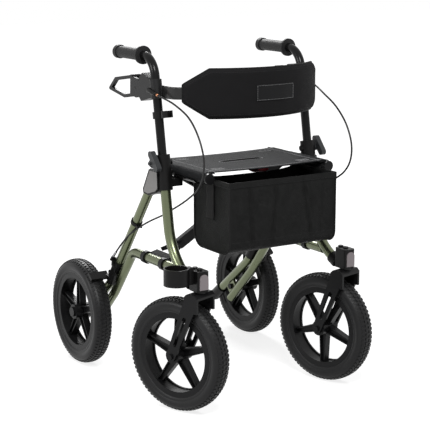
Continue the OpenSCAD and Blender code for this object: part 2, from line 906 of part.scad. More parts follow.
loop_shares = [[0.136, 0.158], [0.734, 0.068], [0.915, -0.09], [0.446, -0.169], [0.147, -0.119]];

module brake_cable(s) {
    color("black") on_side(s) swept(smooth(cable_route, cable_steps), cable_d, cable_sides);
}

// Catmull-Rom points between the points of a route
function smooth(pts, n) = [
    for (i = [0 : len(pts) - 2], k = [0 : n - 1]) let (
        t = k / n,
        a = pts[max(i - 1, 0)], b = pts[i], c = pts[i + 1], d = pts[min(i + 2, len(pts) - 1)]
    ) b + t * (c - a) / 2 + t * t * (a - 5 * b / 2 + 2 * c - d / 2) + t * t * t * (3 * (b - c) + d - a) / 2,
    last(pts)
];

// Tube around points given as distance out, forward and up
module swept(route, d, sides) {
    pts = [for (p = route) [p[0], fwd(p[1]), p[2]]];
    n = len(pts);
    skin([
        for (i = [0 : n - 1]) let (
            t = pts[min(i + 1, n - 1)] - pts[max(i - 1, 0)],
            u = t / norm(t),
            v = cross(u, [1, 0, 0]) / norm(cross(u, [1, 0, 0])),
            w = cross(u, v)
        ) for (k = [0 : sides - 1]) pts[i] + d / 2 * (v * cos(360 * k / sides) + w * sin(360 * k / sides))
    ], sides);
}

// Closed skin over rings of points, each ring with the given number of sides
module skin(points, sides) {
    n = len(points) / sides;
    polyhedron(points, concat(
        [[for (k = [0 : sides - 1]) k]],
        [for (i = [0 : n - 2], k = [0 : sides - 1]) let (a = i * sides + k, b = i * sides + (k + 1) % sides)
            [a, a + sides, b + sides, b]],
        [[for (k = [0 : sides - 1]) n * sides - 1 - k]]
    ));
}

module brake_clamp(s) {
    u = dir(leg_path[1], leg_path[0]);
    low = leg_path[1] + u * (clamp_low_h - leg_knee_h) / u[1];
    top = leg_path[1] + u * (clamp_high_h - leg_knee_h) / u[1];
    face = frame_x + leg_d / 2 + move_gap;
    end = last(cable_route);
    near = cable_route[len(cable_route) - 2];
    stop_u = dir(pt(near[1], near[2]), pt(end[1], end[2]));
    stop = pt(end[1], end[2]) + stop_u * move_gap;
    stop_t = end[0] - frame_x - leg_d / 2;
    color("#181818") on_side(s) difference() {
        union() {
            side_plane(frame_x) rod(low, top, leg_d + 2 * clamp_wall);
            slab(face + ear_t / 2, ear_t) link(arm_pin, arm_hub_r, low + u * 2 * arm_hub_r, arm_hub_r);
            side_plane(end[0]) rod(stop, stop + stop_u * ferrule_l, ferrule_d);
            slab(frame_x + leg_d / 2 + stop_t / 2, stop_t)
                link(top - u * ferrule_d, ferrule_d / 2,
                    stop + stop_u * ferrule_l / 2, ferrule_d / 2 - tube_wall);
            cross_bar_x(arm_pin, face, face + ear_t + arm_t + 2 * move_gap, arm_pin_d);
            cross_bar_x(arm_pin, face + ear_t + arm_t + 2 * move_gap,
                face + ear_t + arm_t + 2 * move_gap + pin_cap_t, arm_pin_d + 2 * pin_cap_t);
        }
        side_plane(frame_x) rod(low - u * over, top + u * over, leg_d + 2 * seat_gap);
    }
}

// Plastic ring that holds the cable on the front of the rear leg
module cable_clip(s) {
    u = dir(leg_path[1], leg_path[0]);
    hold = cable_route[clip_index];
    held = pt(hold[1], hold[2]);
    clip = leg_path[1] + u * ((held - leg_path[1]) * u - clip_ring_w / 2);
    gap_x = cable_d / 2 + clip_room + clip_ring_wall / 2;
    color("#181818") on_side(s) difference() {
        union() {
            side_plane(frame_x) rod(clip, clip + u * clip_ring_w, leg_d + 2 * clip_ring_wall);
            for (side = [-1, 1])
                slab(hold[0] + side * gap_x, clip_ring_wall)
                    link(clip + u * clip_ring_w / 2, clip_ring_w / 2, held, clip_ring_w / 2 - over);
        }
        side_plane(frame_x) rod(clip - u * over, clip + u * (clip_ring_w + over), leg_d + 2 * seat_gap);
    }
}

module brake_arm(s) {
    x = frame_x + leg_d / 2 + ear_t + arm_t / 2 + 2 * move_gap;
    mid = shoe_pt + polar(shoe_t / 2, 180 - shoe_angle);
    tail = pt(tail_f, tail_h);
    end = last(cable_route);
    wire_u = dir(tail, pt(end[1], end[2]));
    wire_l = norm(pt(end[1], end[2]) - tail) - ferrule_l - wire_room;
    color("#202020") on_side(s) difference() {
        union() {
            slab(x, arm_t) link(arm_pin, arm_hub_r, mid, shoe_t / 2);
            slab(x, arm_t) link(arm_pin, arm_hub_r, tail, tail_r);
            side_plane(x) rod(tail, tail + wire_u * wire_l, wire_d);
            side_plane(x - arm_t / 2) linear_extrude(wheel_x + shoe_w / 2 - x + arm_t / 2)
                translate(shoe_pt) rotate(180 - shoe_angle) translate([0, -shoe_l / 2])
                    square([shoe_t, shoe_l]);
        }
        cross_bar_x(arm_pin, x - arm_t, x + arm_t, arm_pin_d + 2 * run_gap);
    }
}

module seat_rail(s) {
    front = fwd(rail_front_f);
    long = rail_front_f - rail_back_f;
    bore = rail_d - 2 * tube_wall;
    color("black") translate([s * rail_x, 0, rail_h]) {
        translate([0, fwd(rail_back_f), 0]) rotate([90, 0, 0]) difference() {
            cylinder(d = rail_d, h = long);
            translate([0, 0, -over]) cylinder(d = bore, h = long + 2 * over);
        }
        for (end = [[front - seat_gap, 1], [fwd(rail_back_f) + seat_gap, -1]])
            translate([0, end[0], 0]) rotate([end[1] * 90, 0, 0]) {
                cylinder(d = rail_cap_d, h = rail_cap_l);
                translate([0, 0, -rail_cap_in]) cylinder(d = bore - 2 * seat_gap, h = rail_cap_in);
            }
    }
}

// One cross bar, from the lower tube on side s up to the opposite seat rail
module crossbar(s) {
    bar_y = fwd(cross_f - s * (bar_t + bar_gap) / 2);
    pivot = [s * frame_x, 0, lower_h];
    color("#181818") difference() {
        union() {
            translate(pivot) rotate([0, s * bar_angle + (s > 0 ? 180 : 0), 0]) bar_body(bar_y);
            for (f = [-1, 1])
                translate([pivot[0], fwd(cross_f + f * ring_pitch / 2) + ring_w / 2, lower_h])
                    rotate([90, 0, 0]) cylinder(d = leg_d + 2 * (run_gap + ring_wall), h = ring_w);
            translate([-s * rail_x, bar_y + rail_ring_w / 2, rail_h]) rotate([90, 0, 0])
                cylinder(d = rail_d + 2 * (run_gap + rail_ring_wall), h = rail_ring_w);
        }
        translate([pivot[0], fwd(cross_f - ring_pitch), lower_h]) rotate([90, 0, 0])
            cylinder(d = leg_d + 2 * run_gap, h = 2 * ring_pitch);
        translate([-s * rail_x, bar_y + ring_pitch / 2, rail_h]) rotate([90, 0, 0])
            cylinder(d = rail_d + 2 * run_gap, h = ring_pitch);
        translate([0, bar_y + bar_t, cross_h()]) rotate([90, 0, 0])
            cylinder(d = pin_d + 2 * run_gap, h = 2 * bar_t);
    }
}

function cross_h() = lower_h + frame_x * tan(bar_angle);

// Bar along +X with its yoke, from the lower ring's axis
module bar_body(bar_y) {
    yoke_y = fwd(cross_f);
    start = yoke_l - yoke_arm;
    translate([start, bar_y - bar_t / 2, -bar_h / 2]) cube([bar_l - start, bar_t, bar_h]);
    translate([start, bar_y - bar_t / 2, -bar_h / 2 - sleeve_wall])
        cube([sleeve_l, bar_t, bar_h + 2 * sleeve_wall]);
    translate([0, 0, -yoke_t / 2]) linear_extrude(yoke_t) difference() {
        yoke_outline(0, bar_y, yoke_y);
        yoke_outline(yoke_arm, bar_y, yoke_y);
    }
}

module yoke_outline(inset, bar_y, yoke_y) {
    half = (ring_pitch + ring_w) / 2 - inset;
    tip = max(bar_t / 2 - inset, over);
    polygon([
        [inset * 2, yoke_y - half], [inset * 2, yoke_y + half],
        [yoke_l - inset, bar_y + tip], [yoke_l - inset, bar_y - tip]
    ]);
}

module cross_pin() {
    half = bar_t + bar_gap / 2 + seat_gap;
    color("dimgray") translate([0, fwd(cross_f), cross_h()]) rotate([90, 0, 0]) {
        cylinder(d = pin_d, h = 2 * half, center = true);
        for (side = [-1, 1])
            translate([0, 0, side * (half + pin_head_h / 2)])
                cylinder(d = pin_head_d, h = pin_head_h, center = true);
        cylinder(d = pin_head_d, h = bar_gap - 2 * seat_gap, center = true);
    }
}

module seat_sling() {
    ring_room = bar_t + bar_gap + rail_ring_w + 2 * move_gap;
    low = rail_h + sleeve_d / 2 - sling_t / 2;
    color("#404040") difference() {
        union() {
            translate([-rail_x, fwd(sling_front_f), low])
                cube([rail_w, sling_front_f - sling_back_f, sling_t]);
            for (s = [-1, 1])
                translate([s * rail_x, fwd(sling_back_f), rail_h]) rotate([90, 0, 0])
                    cylinder(d = sleeve_d, h = sling_front_f - sling_back_f);
        }
        for (s = [-1, 1]) {
            translate([s * rail_x, fwd(sling_back_f) + over, rail_h]) rotate([90, 0, 0])
                cylinder(d = rail_d + 2 * move_gap, h = sling_front_f - sling_back_f + 2 * over);
            translate([s * rail_x - sleeve_d, fwd(cross_f) - ring_room / 2, rail_h - sleeve_d])
                cube([2 * sleeve_d, ring_room, sleeve_d + rail_d / 2 + rail_ring_wall + move_gap]);
        }
        translate([0, fwd(slot_f), low - over]) linear_extrude(sling_t + 2 * over)
            link([-slot_l / 2, 0], slot_wide / 2, [slot_l / 2, 0], slot_wide / 2);
    }
}

module pull_strap() {
    low = rail_h + sleeve_d / 2 - sling_t / 2 - seat_gap;
    color("crimson") difference() {
        translate([-strap_w / 2, fwd(strap_f) + strap_l, low - strap_drop]) rotate([90, 0, 0])
            linear_extrude(strap_l) rounded([strap_w, strap_drop], strap_t);
        translate([-strap_w, fwd(strap_f) + strap_t, low - strap_drop + strap_t])
            cube([2 * strap_w, strap_l - 2 * strap_t, strap_drop - 2 * strap_t]);
    }
}

module bag() {
    color("#1c1c1e") {
        difference() {
            bag_form(0);
            bag_form(bag_wall);
        }
        for (s = [-1, 1])
            translate([s > 0 ? bag_w / 2 - bag_wall : -(rail_x - sleeve_d / 2 - move_gap),
                fwd(tab_f + tab_l), bag_top_h - tab_h])
                cube([rail_x - sleeve_d / 2 - move_gap - bag_w / 2 + bag_wall, tab_l, tab_h]);
    }
}

// Rounded box of the bag, drawn in by a wall and open upwards when it is
module bag_form(inset) {
    low = bag_top_h - bag_h;
    w = bag_w - 2 * inset;
    depth = bag_depth - 2 * inset;
    tall = bag_h + (inset > 0 ? bag_round : 0);
    corner = bag_round - inset;
    back = fwd(bag_back_f) - inset;
    translate([-w / 2, back - depth, low + inset]) intersection() {
        linear_extrude(tall) rounded([w, depth], corner);
        rotate([90, 0, 0]) translate([0, 0, -depth - over])
            linear_extrude(depth + 2 * over) rounded([w, tall + corner], corner);
        rotate([90, 0, 90]) translate([0, 0, -over])
            linear_extrude(w + 2 * over) rounded([depth, tall + corner], corner);
    }
}

// Back band: one skin along its plan curve, a crowned pad that tapers to a flat strap at each side
module backrest() {
    stations = [for (i = [-band_steps : band_steps]) band_l_half() * i / band_steps];
    color("#1b1b1d") skin([
        for (l = stations) let (
            c = band_plan(abs(l)),
            hand = l < 0 ? -1 : 1,
            taper = band_taper(abs(l)),
            thick = back_strap_t + (band_t - back_strap_t) * taper,
            tall = taper > 0 ? pad_end_h + (band_h - pad_end_h) * taper : strap_h
        ) for (k = [0 : band_sides - 1]) let (
            a = 360 * k / band_sides,
            inward = thick / 2 * (1 - rounded_cos(a, crown_power_share)),
            up = -tall / 2 * rounded_cos(a - 90, edge_power_share)
        ) [
            hand * (c[0] - inward * sin(c[2])),
            fwd(c[1] - inward * cos(c[2])),
            band_mid_h + up
        ]
    ], band_sides);
}

function rounded_cos(a, power) = sign(cos(a)) * pow(abs(cos(a)), power);
function band_l_half() = arc_l(band_r, band_turn) + arc_l(band_corner_r, 90 - band_turn) + strap_run();
function arc_l(r, a) = r * a * PI / 180;
function corner_f() = band_front_f - band_r + (band_r - band_corner_r) * cos(band_turn);
function corner_x() = (band_r - band_corner_r) * sin(band_turn);
function strap_run() =
    corner_f() - handle_f(band_mid_h - strap_h / 2) - handle_d / 2 - bracket_wall - move_gap;

// Distance out, forward and heading of the band's front face, l along it from the middle
function band_plan(l) =
    let (front = arc_l(band_r, band_turn), round = front + arc_l(band_corner_r, 90 - band_turn))
    l < front ? let (a = band_turn * l / front)
        [band_r * sin(a), band_front_f - band_r + band_r * cos(a), a]
    : l < round ? let (a = band_turn + (90 - band_turn) * (l - front) / (round - front))
        [corner_x() + band_corner_r * sin(a), corner_f() + band_corner_r * cos(a), a]
    : [corner_x() + band_corner_r, corner_f() - (l - round), 90];

// Full pad in the middle, falling evenly to its two ends
function band_taper(l) = max(0, min(1, (pad_end_l - l) / (pad_end_l - pad_full_l)));

module cane_cup() {
    x = -frame_x - front_tube_d / 2 - cup_gap - cup_wall - cup_bore / 2;
    y = swivel_y + cup_back;
    color("#181818") difference() {
        union() {
            translate([x, y, cup_low_h]) cylinder(d = cup_bore + 2 * cup_wall, h = cup_h);
            translate([x, swivel_y, cup_low_h])
                cube([-frame_x - head_w / 2 - seat_gap - x, head_back - head_round, cup_h]);
        }
        translate([x, y, cup_low_h + cup_wall]) cylinder(d = cup_bore, h = cup_h);
    }
}

module cane_clip() {
    mid = handle_pt(cane_clip_h);
    u = dir(handle_pt(collar_low_h), handle_pt(collar_top_h));
    out = [-u[1], u[0]];
    ring = mid + out * cane_clip_reach;
    color("#181818") side_plane(-frame_x) difference() {
        union() {
            rod(mid - u * cane_clip_l / 2, mid + u * cane_clip_l / 2, handle_d + 2 * cane_clip_wall);
            rod(ring - u * cane_clip_l / 2, ring + u * cane_clip_l / 2, clip_bore + 2 * cane_clip_wall);
            translate(mid) rotate(90 - handle_lean) translate([-cane_clip_l / 2, 0, -cane_clip_wall])
                cube([cane_clip_l, cane_clip_reach, 2 * cane_clip_wall]);
        }
        rod(mid - u * cane_clip_l, mid + u * cane_clip_l, handle_d + 2 * seat_gap);
        rod(ring - u * cane_clip_l, ring + u * cane_clip_l, clip_bore);
        translate(ring) rotate(90 - handle_lean)
            translate([-cane_clip_l, 0, -clip_bore * cane_gap_share / 2])
                cube([2 * cane_clip_l, cane_clip_reach, clip_bore * cane_gap_share]);
    }
}

front_tube(1);  // front_tube_left
front_tube(-1);  // front_tube_right
lower_tube(1);  // lower_tube_left
lower_tube(-1);  // lower_tube_right
rear_leg(1);  // rear_leg_left
rear_leg(-1);  // rear_leg_right
tip_pedal(1);  // tip_pedal_left
tip_pedal(-1);  // tip_pedal_right
rear_axle(1);  // rear_axle_left
rear_axle(-1);  // rear_axle_right
rear_tyre(1);  // rear_tyre_left
rear_tyre(-1);  // rear_tyre_right
rear_rim(1);  // rear_rim_left
rear_rim(-1);  // rear_rim_right
caster_head(1);  // caster_head_left
caster_head(-1);  // caster_head_right
reflector(1);  // reflector_left
reflector(-1);  // reflector_right
caster_fork(1);  // caster_fork_left
caster_fork(-1);  // caster_fork_right
caster_axle(1);  // caster_axle_left
caster_axle(-1);  // caster_axle_right
caster_tyre(1);  // caster_tyre_left
caster_tyre(-1);  // caster_tyre_right
caster_rim(1);  // caster_rim_left
caster_rim(-1);  // caster_rim_right
joint_housing(1);  // joint_housing_left
joint_housing(-1);  // joint_housing_right
housing_cover(1);  // housing_cover_left
housing_cover(-1);  // housing_cover_right
clamp_knob(1);  // clamp_knob_left
clamp_knob(-1);  // clamp_knob_right
handle_tube(1);  // handle_tube_left
handle_tube(-1);  // handle_tube_right
handle_grip(1);  // handle_grip_left
handle_grip(-1);  // handle_grip_right
brake_bracket(1);  // brake_bracket_left
brake_bracket(-1);  // brake_bracket_right
brake_lever(1);  // brake_lever_left
brake_lever(-1);  // brake_lever_right
brake_cable(1);  // brake_cable_left
brake_cable(-1);  // brake_cable_right
brake_clamp(1);  // brake_clamp_left
brake_clamp(-1);  // brake_clamp_right
cable_clip(1);  // cable_clip_left
cable_clip(-1);  // cable_clip_right
brake_arm(1);  // brake_arm_left
brake_arm(-1);  // brake_arm_right
seat_rail(1);  // seat_rail_left
seat_rail(-1);  // seat_rail_right
crossbar(1);  // crossbar_left
crossbar(-1);  // crossbar_right
cross_pin();
seat_sling();
pull_strap();
bag();
backrest();
cane_cup();
cane_clip();
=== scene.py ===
import math

import bmesh
import bpy
from mathutils import Matrix, Vector, noise


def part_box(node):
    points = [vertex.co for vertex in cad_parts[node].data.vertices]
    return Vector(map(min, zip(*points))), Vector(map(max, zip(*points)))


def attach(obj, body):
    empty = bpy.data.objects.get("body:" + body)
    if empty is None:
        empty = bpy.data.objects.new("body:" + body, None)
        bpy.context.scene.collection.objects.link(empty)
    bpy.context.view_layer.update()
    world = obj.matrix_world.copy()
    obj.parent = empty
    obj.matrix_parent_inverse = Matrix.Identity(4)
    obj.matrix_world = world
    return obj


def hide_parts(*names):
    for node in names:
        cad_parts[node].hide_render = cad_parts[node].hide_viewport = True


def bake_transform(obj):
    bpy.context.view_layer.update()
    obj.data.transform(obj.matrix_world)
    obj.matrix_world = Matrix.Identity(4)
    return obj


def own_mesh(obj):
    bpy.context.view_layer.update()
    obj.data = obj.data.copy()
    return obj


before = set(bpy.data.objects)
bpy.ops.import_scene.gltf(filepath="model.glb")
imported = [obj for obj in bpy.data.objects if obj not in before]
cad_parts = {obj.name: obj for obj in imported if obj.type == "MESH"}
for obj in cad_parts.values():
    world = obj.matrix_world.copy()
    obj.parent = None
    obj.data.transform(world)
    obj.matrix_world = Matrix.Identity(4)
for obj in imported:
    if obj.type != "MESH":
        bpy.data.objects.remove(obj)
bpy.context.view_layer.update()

# Side frames: three steel tubes a side, bent, welded at the axle plate and painted.
# The paint is a fine sage green metallic under a clear coat.
REAR_Y = sum(corner[1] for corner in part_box("rear_axle_left")) / 2
SIDES = (("left", 1), ("right", -1))
ROUGH_SPREAD = 0.12


# Places are in millimetres: across, forward of the rear axle, and up.
def mm(x, f, z):
    return Vector((x / 1000, REAR_Y - f / 1000, z / 1000))


def shader_group(name, inputs, outputs):
    tree = bpy.data.node_groups.new(name, "ShaderNodeTree")
    for label, value in inputs:
        socket = tree.interface.new_socket(label, in_out="INPUT", socket_type="NodeSocketFloat")
        socket.default_value = value
    for label, kind in outputs:
        tree.interface.new_socket(label, in_out="OUTPUT", socket_type=kind)
    return tree, tree.nodes.new("NodeGroupInput"), tree.nodes.new("NodeGroupOutput")


def grain_group():
    tree, enter, leave = shader_group(
        "surface_grain",
        [("Fineness", 900.0), ("Depth", 0.0001), ("Patch size", 9.0)],
        [("Normal", "NodeSocketVector"), ("Patches", "NodeSocketFloat")])
    coords = tree.nodes.new("ShaderNodeTexCoord")
    fine = tree.nodes.new("ShaderNodeTexNoise")
    patches = tree.nodes.new("ShaderNodeTexNoise")
    patches.inputs["Detail"].default_value = 4.0
    bump = tree.nodes.new("ShaderNodeBump")
    join = tree.links.new
    join(coords.outputs["Object"], fine.inputs["Vector"])
    join(coords.outputs["Object"], patches.inputs["Vector"])
    join(enter.outputs["Fineness"], fine.inputs["Scale"])
    join(enter.outputs["Patch size"], patches.inputs["Scale"])
    join(enter.outputs["Depth"], bump.inputs["Distance"])
    join(fine.outputs["Fac"], bump.inputs["Height"])
    join(bump.outputs["Normal"], leave.inputs["Normal"])
    join(patches.outputs["Fac"], leave.inputs["Patches"])
    return tree


GRAIN = grain_group()


def vary(tree, mask, low, high, kind):
    spread = tree.nodes.new("ShaderNodeMix")
    spread.data_type = kind
    first = 6 if kind == "RGBA" else 2
    spread.inputs[first].default_value = low
    spread.inputs[first + 1].default_value = high
    tree.links.new(mask, spread.inputs[0])
    return spread.outputs[2 if kind == "RGBA" else 0]


def finish(name, base, rough, grain, depth, metal=0.0, coat=0.0, sheen=0.0, gloss=0.5, tone=0.12,
           group=GRAIN):
    mat = bpy.data.materials.new(name)
    mat.use_nodes = True
    tree = mat.node_tree
    shader = tree.nodes["Principled BSDF"]
    shader.inputs["Metallic"].default_value = metal
    shader.inputs["Coat Weight"].default_value = coat
    shader.inputs["Coat Roughness"].default_value = 0.1
    shader.inputs["Sheen Weight"].default_value = sheen
    shader.inputs["Sheen Roughness"].default_value = 0.45
    shader.inputs["Specular IOR Level"].default_value = gloss
    surface = tree.nodes.new("ShaderNodeGroup")
    surface.node_tree = group
    surface.inputs[0].default_value = grain
    surface.inputs[1].default_value = depth
    dark = (*(c * (1 - tone) for c in base), 1.0)
    light = (*(c * (1 + tone) for c in base), 1.0)
    mask = surface.outputs["Patches"]
    tree.links.new(vary(tree, mask, dark, light, "RGBA"), shader.inputs["Base Color"])
    low, high = rough * (1 - ROUGH_SPREAD), rough * (1 + ROUGH_SPREAD)
    tree.links.new(vary(tree, mask, low, high, "FLOAT"), shader.inputs["Roughness"])
    tree.links.new(surface.outputs["Normal"], shader.inputs["Normal"])
    return mat


def paint(mat, *names):
    for name in names:
        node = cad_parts[name]
        node.data.materials.clear()
        node.data.materials.append(mat)


def both(*names):
    return [f"{name}_{side}" for name in names for side, _ in SIDES]


green_paint = finish("green_paint", (0.142, 0.162, 0.094), 0.27, 3200, 0.00002, metal=0.9, coat=0.2,
                     tone=0.06)
paint(green_paint, *both("front_tube", "lower_tube", "rear_leg"))

# Wheels: pneumatic tyres on five-spoke moulded rims, the casters' in powder-coated forks.
# Each tyre is one rubber casing with four staggered rows of small moulded tread blocks.
CASTER_TURN = {"left": 15, "right": 21}
TREAD_COUNT = 76
# A tread row is its place across, radius, tilt, phase and block.
TREAD_ROWS = ((0.0182, 0.1449, 32, 0.0, (0.0040, 0.0066, 0.0078)),
              (0.0062, 0.1490, 6, 0.5, (0.0036, 0.0072, 0.0088)))
# Half of the casing's section, from the bead to the crown: place across and radius, in millimetres.
CASING = ((17.5, 111.5), (21.5, 113.2), (22.9, 116.2), (23.8, 118.2), (23.2, 120.0),
          (24.6, 122.8), (26.3, 126.5), (27.0, 131.0), (26.4, 135.6), (24.5, 139.8),
          (21.2, 143.4), (16.5, 146.4), (10.5, 148.3), (4.0, 149.1))
CASING_STEPS = 120
tyre_rubber = finish("tyre_rubber", (0.011, 0.011, 0.0115), 0.42, 700, 0.0001, gloss=0.22, tone=0.2)
rim_plastic = finish("rim_plastic", (0.008, 0.008, 0.0085), 0.36, 1300, 0.00008, gloss=0.14)
black_coat = finish("black_coat", (0.008, 0.008, 0.0085), 0.3, 2200, 0.00004, gloss=0.14)
paint(rim_plastic, *both("rear_rim", "caster_rim"))
paint(black_coat, *both("caster_fork", "caster_axle", "rear_axle"))


def mesh_piece(name, points, faces, mat, uvs=None):
    mesh = bpy.data.meshes.new(name)
    mesh.from_pydata([tuple(p) for p in points], [], faces)
    if uvs:
        layer = mesh.uv_layers.new(name="UVMap")
        for loop in mesh.loops:
            layer.data[loop.index].uv = uvs[loop.vertex_index]
    mesh.materials.append(mat)
    mesh.shade_smooth()
    piece = bpy.data.objects.new(name, mesh)
    bpy.context.scene.collection.objects.link(piece)
    return piece


def grown(name, seed, tree, values):
    holder = bpy.data.objects.new(f"{name}_seed", seed)
    bpy.context.scene.collection.objects.link(holder)
    grow = holder.modifiers.new("grow", "NODES")
    grow.node_group = tree
    for item in tree.interface.items_tree:
        if item.in_out == "INPUT" and item.name in values:
            grow[item.identifier] = values[item.name]
    graph = bpy.context.evaluated_depsgraph_get()
    mesh = bpy.data.meshes.new_from_object(holder.evaluated_get(graph))
    bpy.data.objects.remove(holder)
    mesh.name = name
    piece = bpy.data.objects.new(name, mesh)
    bpy.context.scene.collection.objects.link(piece)
    return piece


def geometry_tree(name, inputs):
    tree = bpy.data.node_groups.new(name, "GeometryNodeTree")
    tree.interface.new_socket("Geometry", in_out="INPUT", socket_type="NodeSocketGeometry")
    for label, kind in inputs:
        tree.interface.new_socket(label, in_out="INPUT", socket_type=f"NodeSocket{kind}")
    tree.interface.new_socket("Geometry", in_out="OUTPUT", socket_type="NodeSocketGeometry")
    return tree, tree.nodes.new("NodeGroupInput"), tree.nodes.new("NodeGroupOutput")


def tread_tree():
    tree, enter, leave = geometry_tree("tread_row", [
        ("Count", "Int"), ("Radius", "Float"), ("Across", "Float"), ("Tilt", "Vector"), ("Turn", "Vector"),
        ("Block", "Vector"), ("Rubber", "Material")])
    make, join = tree.nodes.new, tree.links.new
    ring = make("GeometryNodeMeshCircle")
    cube = make("GeometryNodeMeshCube")
    where = make("GeometryNodeInputPosition")
    aim = make("FunctionNodeAlignRotationToVector")
    aim.axis = "X"
    aim.pivot_axis = "Z"
    placed = make("GeometryNodeInstanceOnPoints")
    tilted = make("GeometryNodeRotateInstances")
    shift = make("ShaderNodeCombineXYZ")
    moved = make("GeometryNodeTransform")
    solid = make("GeometryNodeRealizeInstances")
    coloured = make("GeometryNodeSetMaterial")
    join(enter.outputs["Count"], ring.inputs["Vertices"])
    join(enter.outputs["Radius"], ring.inputs["Radius"])
    join(enter.outputs["Block"], cube.inputs["Size"])
    join(where.outputs["Position"], aim.inputs["Vector"])
    join(ring.outputs["Mesh"], placed.inputs["Points"])
    join(cube.outputs["Mesh"], placed.inputs["Instance"])
    join(aim.outputs["Rotation"], placed.inputs["Rotation"])
    join(placed.outputs["Instances"], tilted.inputs["Instances"])
    join(enter.outputs["Tilt"], tilted.inputs["Rotation"])
    join(enter.outputs["Across"], shift.inputs["Z"])
    join(tilted.outputs["Instances"], moved.inputs["Geometry"])
    join(shift.outputs["Vector"], moved.inputs["Translation"])
    join(enter.outputs["Turn"], moved.inputs["Rotation"])
    join(moved.outputs["Geometry"], solid.inputs["Geometry"])
    join(solid.outputs["Geometry"], coloured.inputs["Geometry"])
    join(enter.outputs["Rubber"], coloured.inputs["Material"])
    join(coloured.outputs["Geometry"], leave.inputs["Geometry"])
    return tree


TREAD = tread_tree()


def casing_piece(name):
    section = [(-x, r) for x, r in CASING] + [(x, r) for x, r in reversed(CASING)]
    wide = len(section)
    points, faces = [], []
    for i in range(CASING_STEPS):
        a = 2 * math.pi * i / CASING_STEPS
        points += [Vector((r * math.cos(a), r * math.sin(a), x)) / 1000 for x, r in section]
        here, there = i * wide, (i + 1) % CASING_STEPS * wide
        faces += [(here + k, here + (k + 1) % wide, there + (k + 1) % wide, there + k) for k in range(wide)]
    return mesh_piece(name, points, faces, tyre_rubber)


def wheel_place(node, turn):
    low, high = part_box(node)
    middle = (Vector(low) + Vector(high)) / 2
    upright = Matrix.Rotation(math.pi / 2, 4, "Y")
    return Matrix.Translation(middle) @ Matrix.Rotation(math.radians(turn), 4, "Z") @ upright


for side, _ in SIDES:
    for node, body, turn in ((f"rear_tyre_{side}", f"rear_wheel_{side}", 0),
                             (f"caster_tyre_{side}", f"front_wheel_{side}", CASTER_TURN[side])):
        place = wheel_place(node, turn)
        casing = casing_piece(node.replace("tyre", "casing"))
        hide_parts(node)
        pieces = [casing]
        for row, (across, radius, tilt, phase, block) in enumerate(TREAD_ROWS):
            for hand in (1, -1):
                turn_by = math.pi / TREAD_COUNT * (2 * phase + (hand + 1) / 2)
                pieces.append(grown(
                    f"{node.replace('tyre', 'tread')}_{row}_{'out' if hand > 0 else 'in'}",
                    bpy.data.meshes.new("empty"), TREAD,
                    {"Count": TREAD_COUNT, "Radius": radius, "Across": hand * across,
                     "Tilt": (0.0, -hand * math.radians(tilt), 0.0), "Turn": (0.0, 0.0, turn_by),
                     "Block": block, "Rubber": tyre_rubber}))
        for piece in pieces:
            piece.data.transform(place)
            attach(piece, body)

# Folding cross and seat rails: steel in the same black powder coat as the forks.
# One plated pin joins the two bars, and each rail turns on the upper end of a bar.
plated_steel = finish("plated_steel", (0.32, 0.32, 0.33), 0.35, 1200, 0.00003, metal=1.0)
paint(black_coat, *both("crossbar", "seat_rail"))
paint(plated_steel, "cross_pin")

# Joint housings, heads, clamps and clips: black glass-filled nylon mouldings on the tubes.
# A silver-grey cover plate is clipped into each housing and a grey knob clamps the handle.
# A reflector sits on the front of each caster head.
TRIM_R = 0.0022
TRIM_SINK = 0.001
RIM_DEPTH = 0.0005
black_nylon = finish("black_nylon", (0.0068, 0.0066, 0.0066), 0.36, 1500, 0.0001, gloss=0.14)
knob_nylon = finish("knob_nylon", (0.03, 0.032, 0.034), 0.42, 1500, 0.0001, gloss=0.3)
cover_nylon = finish("cover_nylon", (0.2, 0.193, 0.188), 0.4, 1800, 0.00005, metal=0.3)
reflector_lens = finish("reflector_lens", (0.24, 0.205, 0.215), 0.2, 420, 0.0003, coat=0.4)
paint(black_nylon, *both("joint_housing", "caster_head", "brake_clamp", "cable_clip"))
paint(black_nylon, *both("tip_pedal", "brake_arm"), "cane_cup", "cane_clip")
paint(knob_nylon, *both("clamp_knob"))
paint(cover_nylon, *both("housing_cover"))
paint(reflector_lens, *both("reflector"))


def tube(name, path, radius, sides, mat, closed=False):
    count = len(path)
    points, faces = [], []
    across = None
    for i, p in enumerate(path):
        before = path[i - 1] if i or closed else p
        after = path[(i + 1) % count] if i < count - 1 or closed else p
        ahead = (after - before).normalized()
        across = ahead.orthogonal() if across is None else across - ahead * across.dot(ahead)
        across.normalize()
        over = ahead.cross(across)
        for k in range(sides):
            a = 2 * math.pi * k / sides
            points.append(p + radius * (across * math.cos(a) + over * math.sin(a)))
    for i in range(count if closed else count - 1):
        for k in range(sides):
            here, there = i * sides, (i + 1) % count * sides
            faces.append((here + k, here + (k + 1) % sides, there + (k + 1) % sides, there + k))
    if not closed:
        faces.append(tuple(reversed(range(sides))))
        faces.append(tuple(range((count - 1) * sides, count * sides)))
    return mesh_piece(name, points, faces, mat)


def outer_rim(node, s):
    outer = max(s * v.co.x for v in node.data.vertices)
    face = [v.co for v in node.data.vertices if s * v.co.x > outer - RIM_DEPTH]
    spots = sorted({(round(p.y, 5), round(p.z, 5)) for p in face})
    rim = []
    for run in (spots, spots[::-1]):
        start = len(rim)
        for y, z in run:
            while len(rim) > start + 1 and ((rim[-1][0] - rim[-2][0]) * (z - rim[-2][1])
                                            <= (rim[-1][1] - rim[-2][1]) * (y - rim[-2][0])):
                rim.pop()
            rim.append((y, z))
        rim.pop()
    return [Vector((s * (outer - TRIM_SINK), y, z)) for y, z in rim]


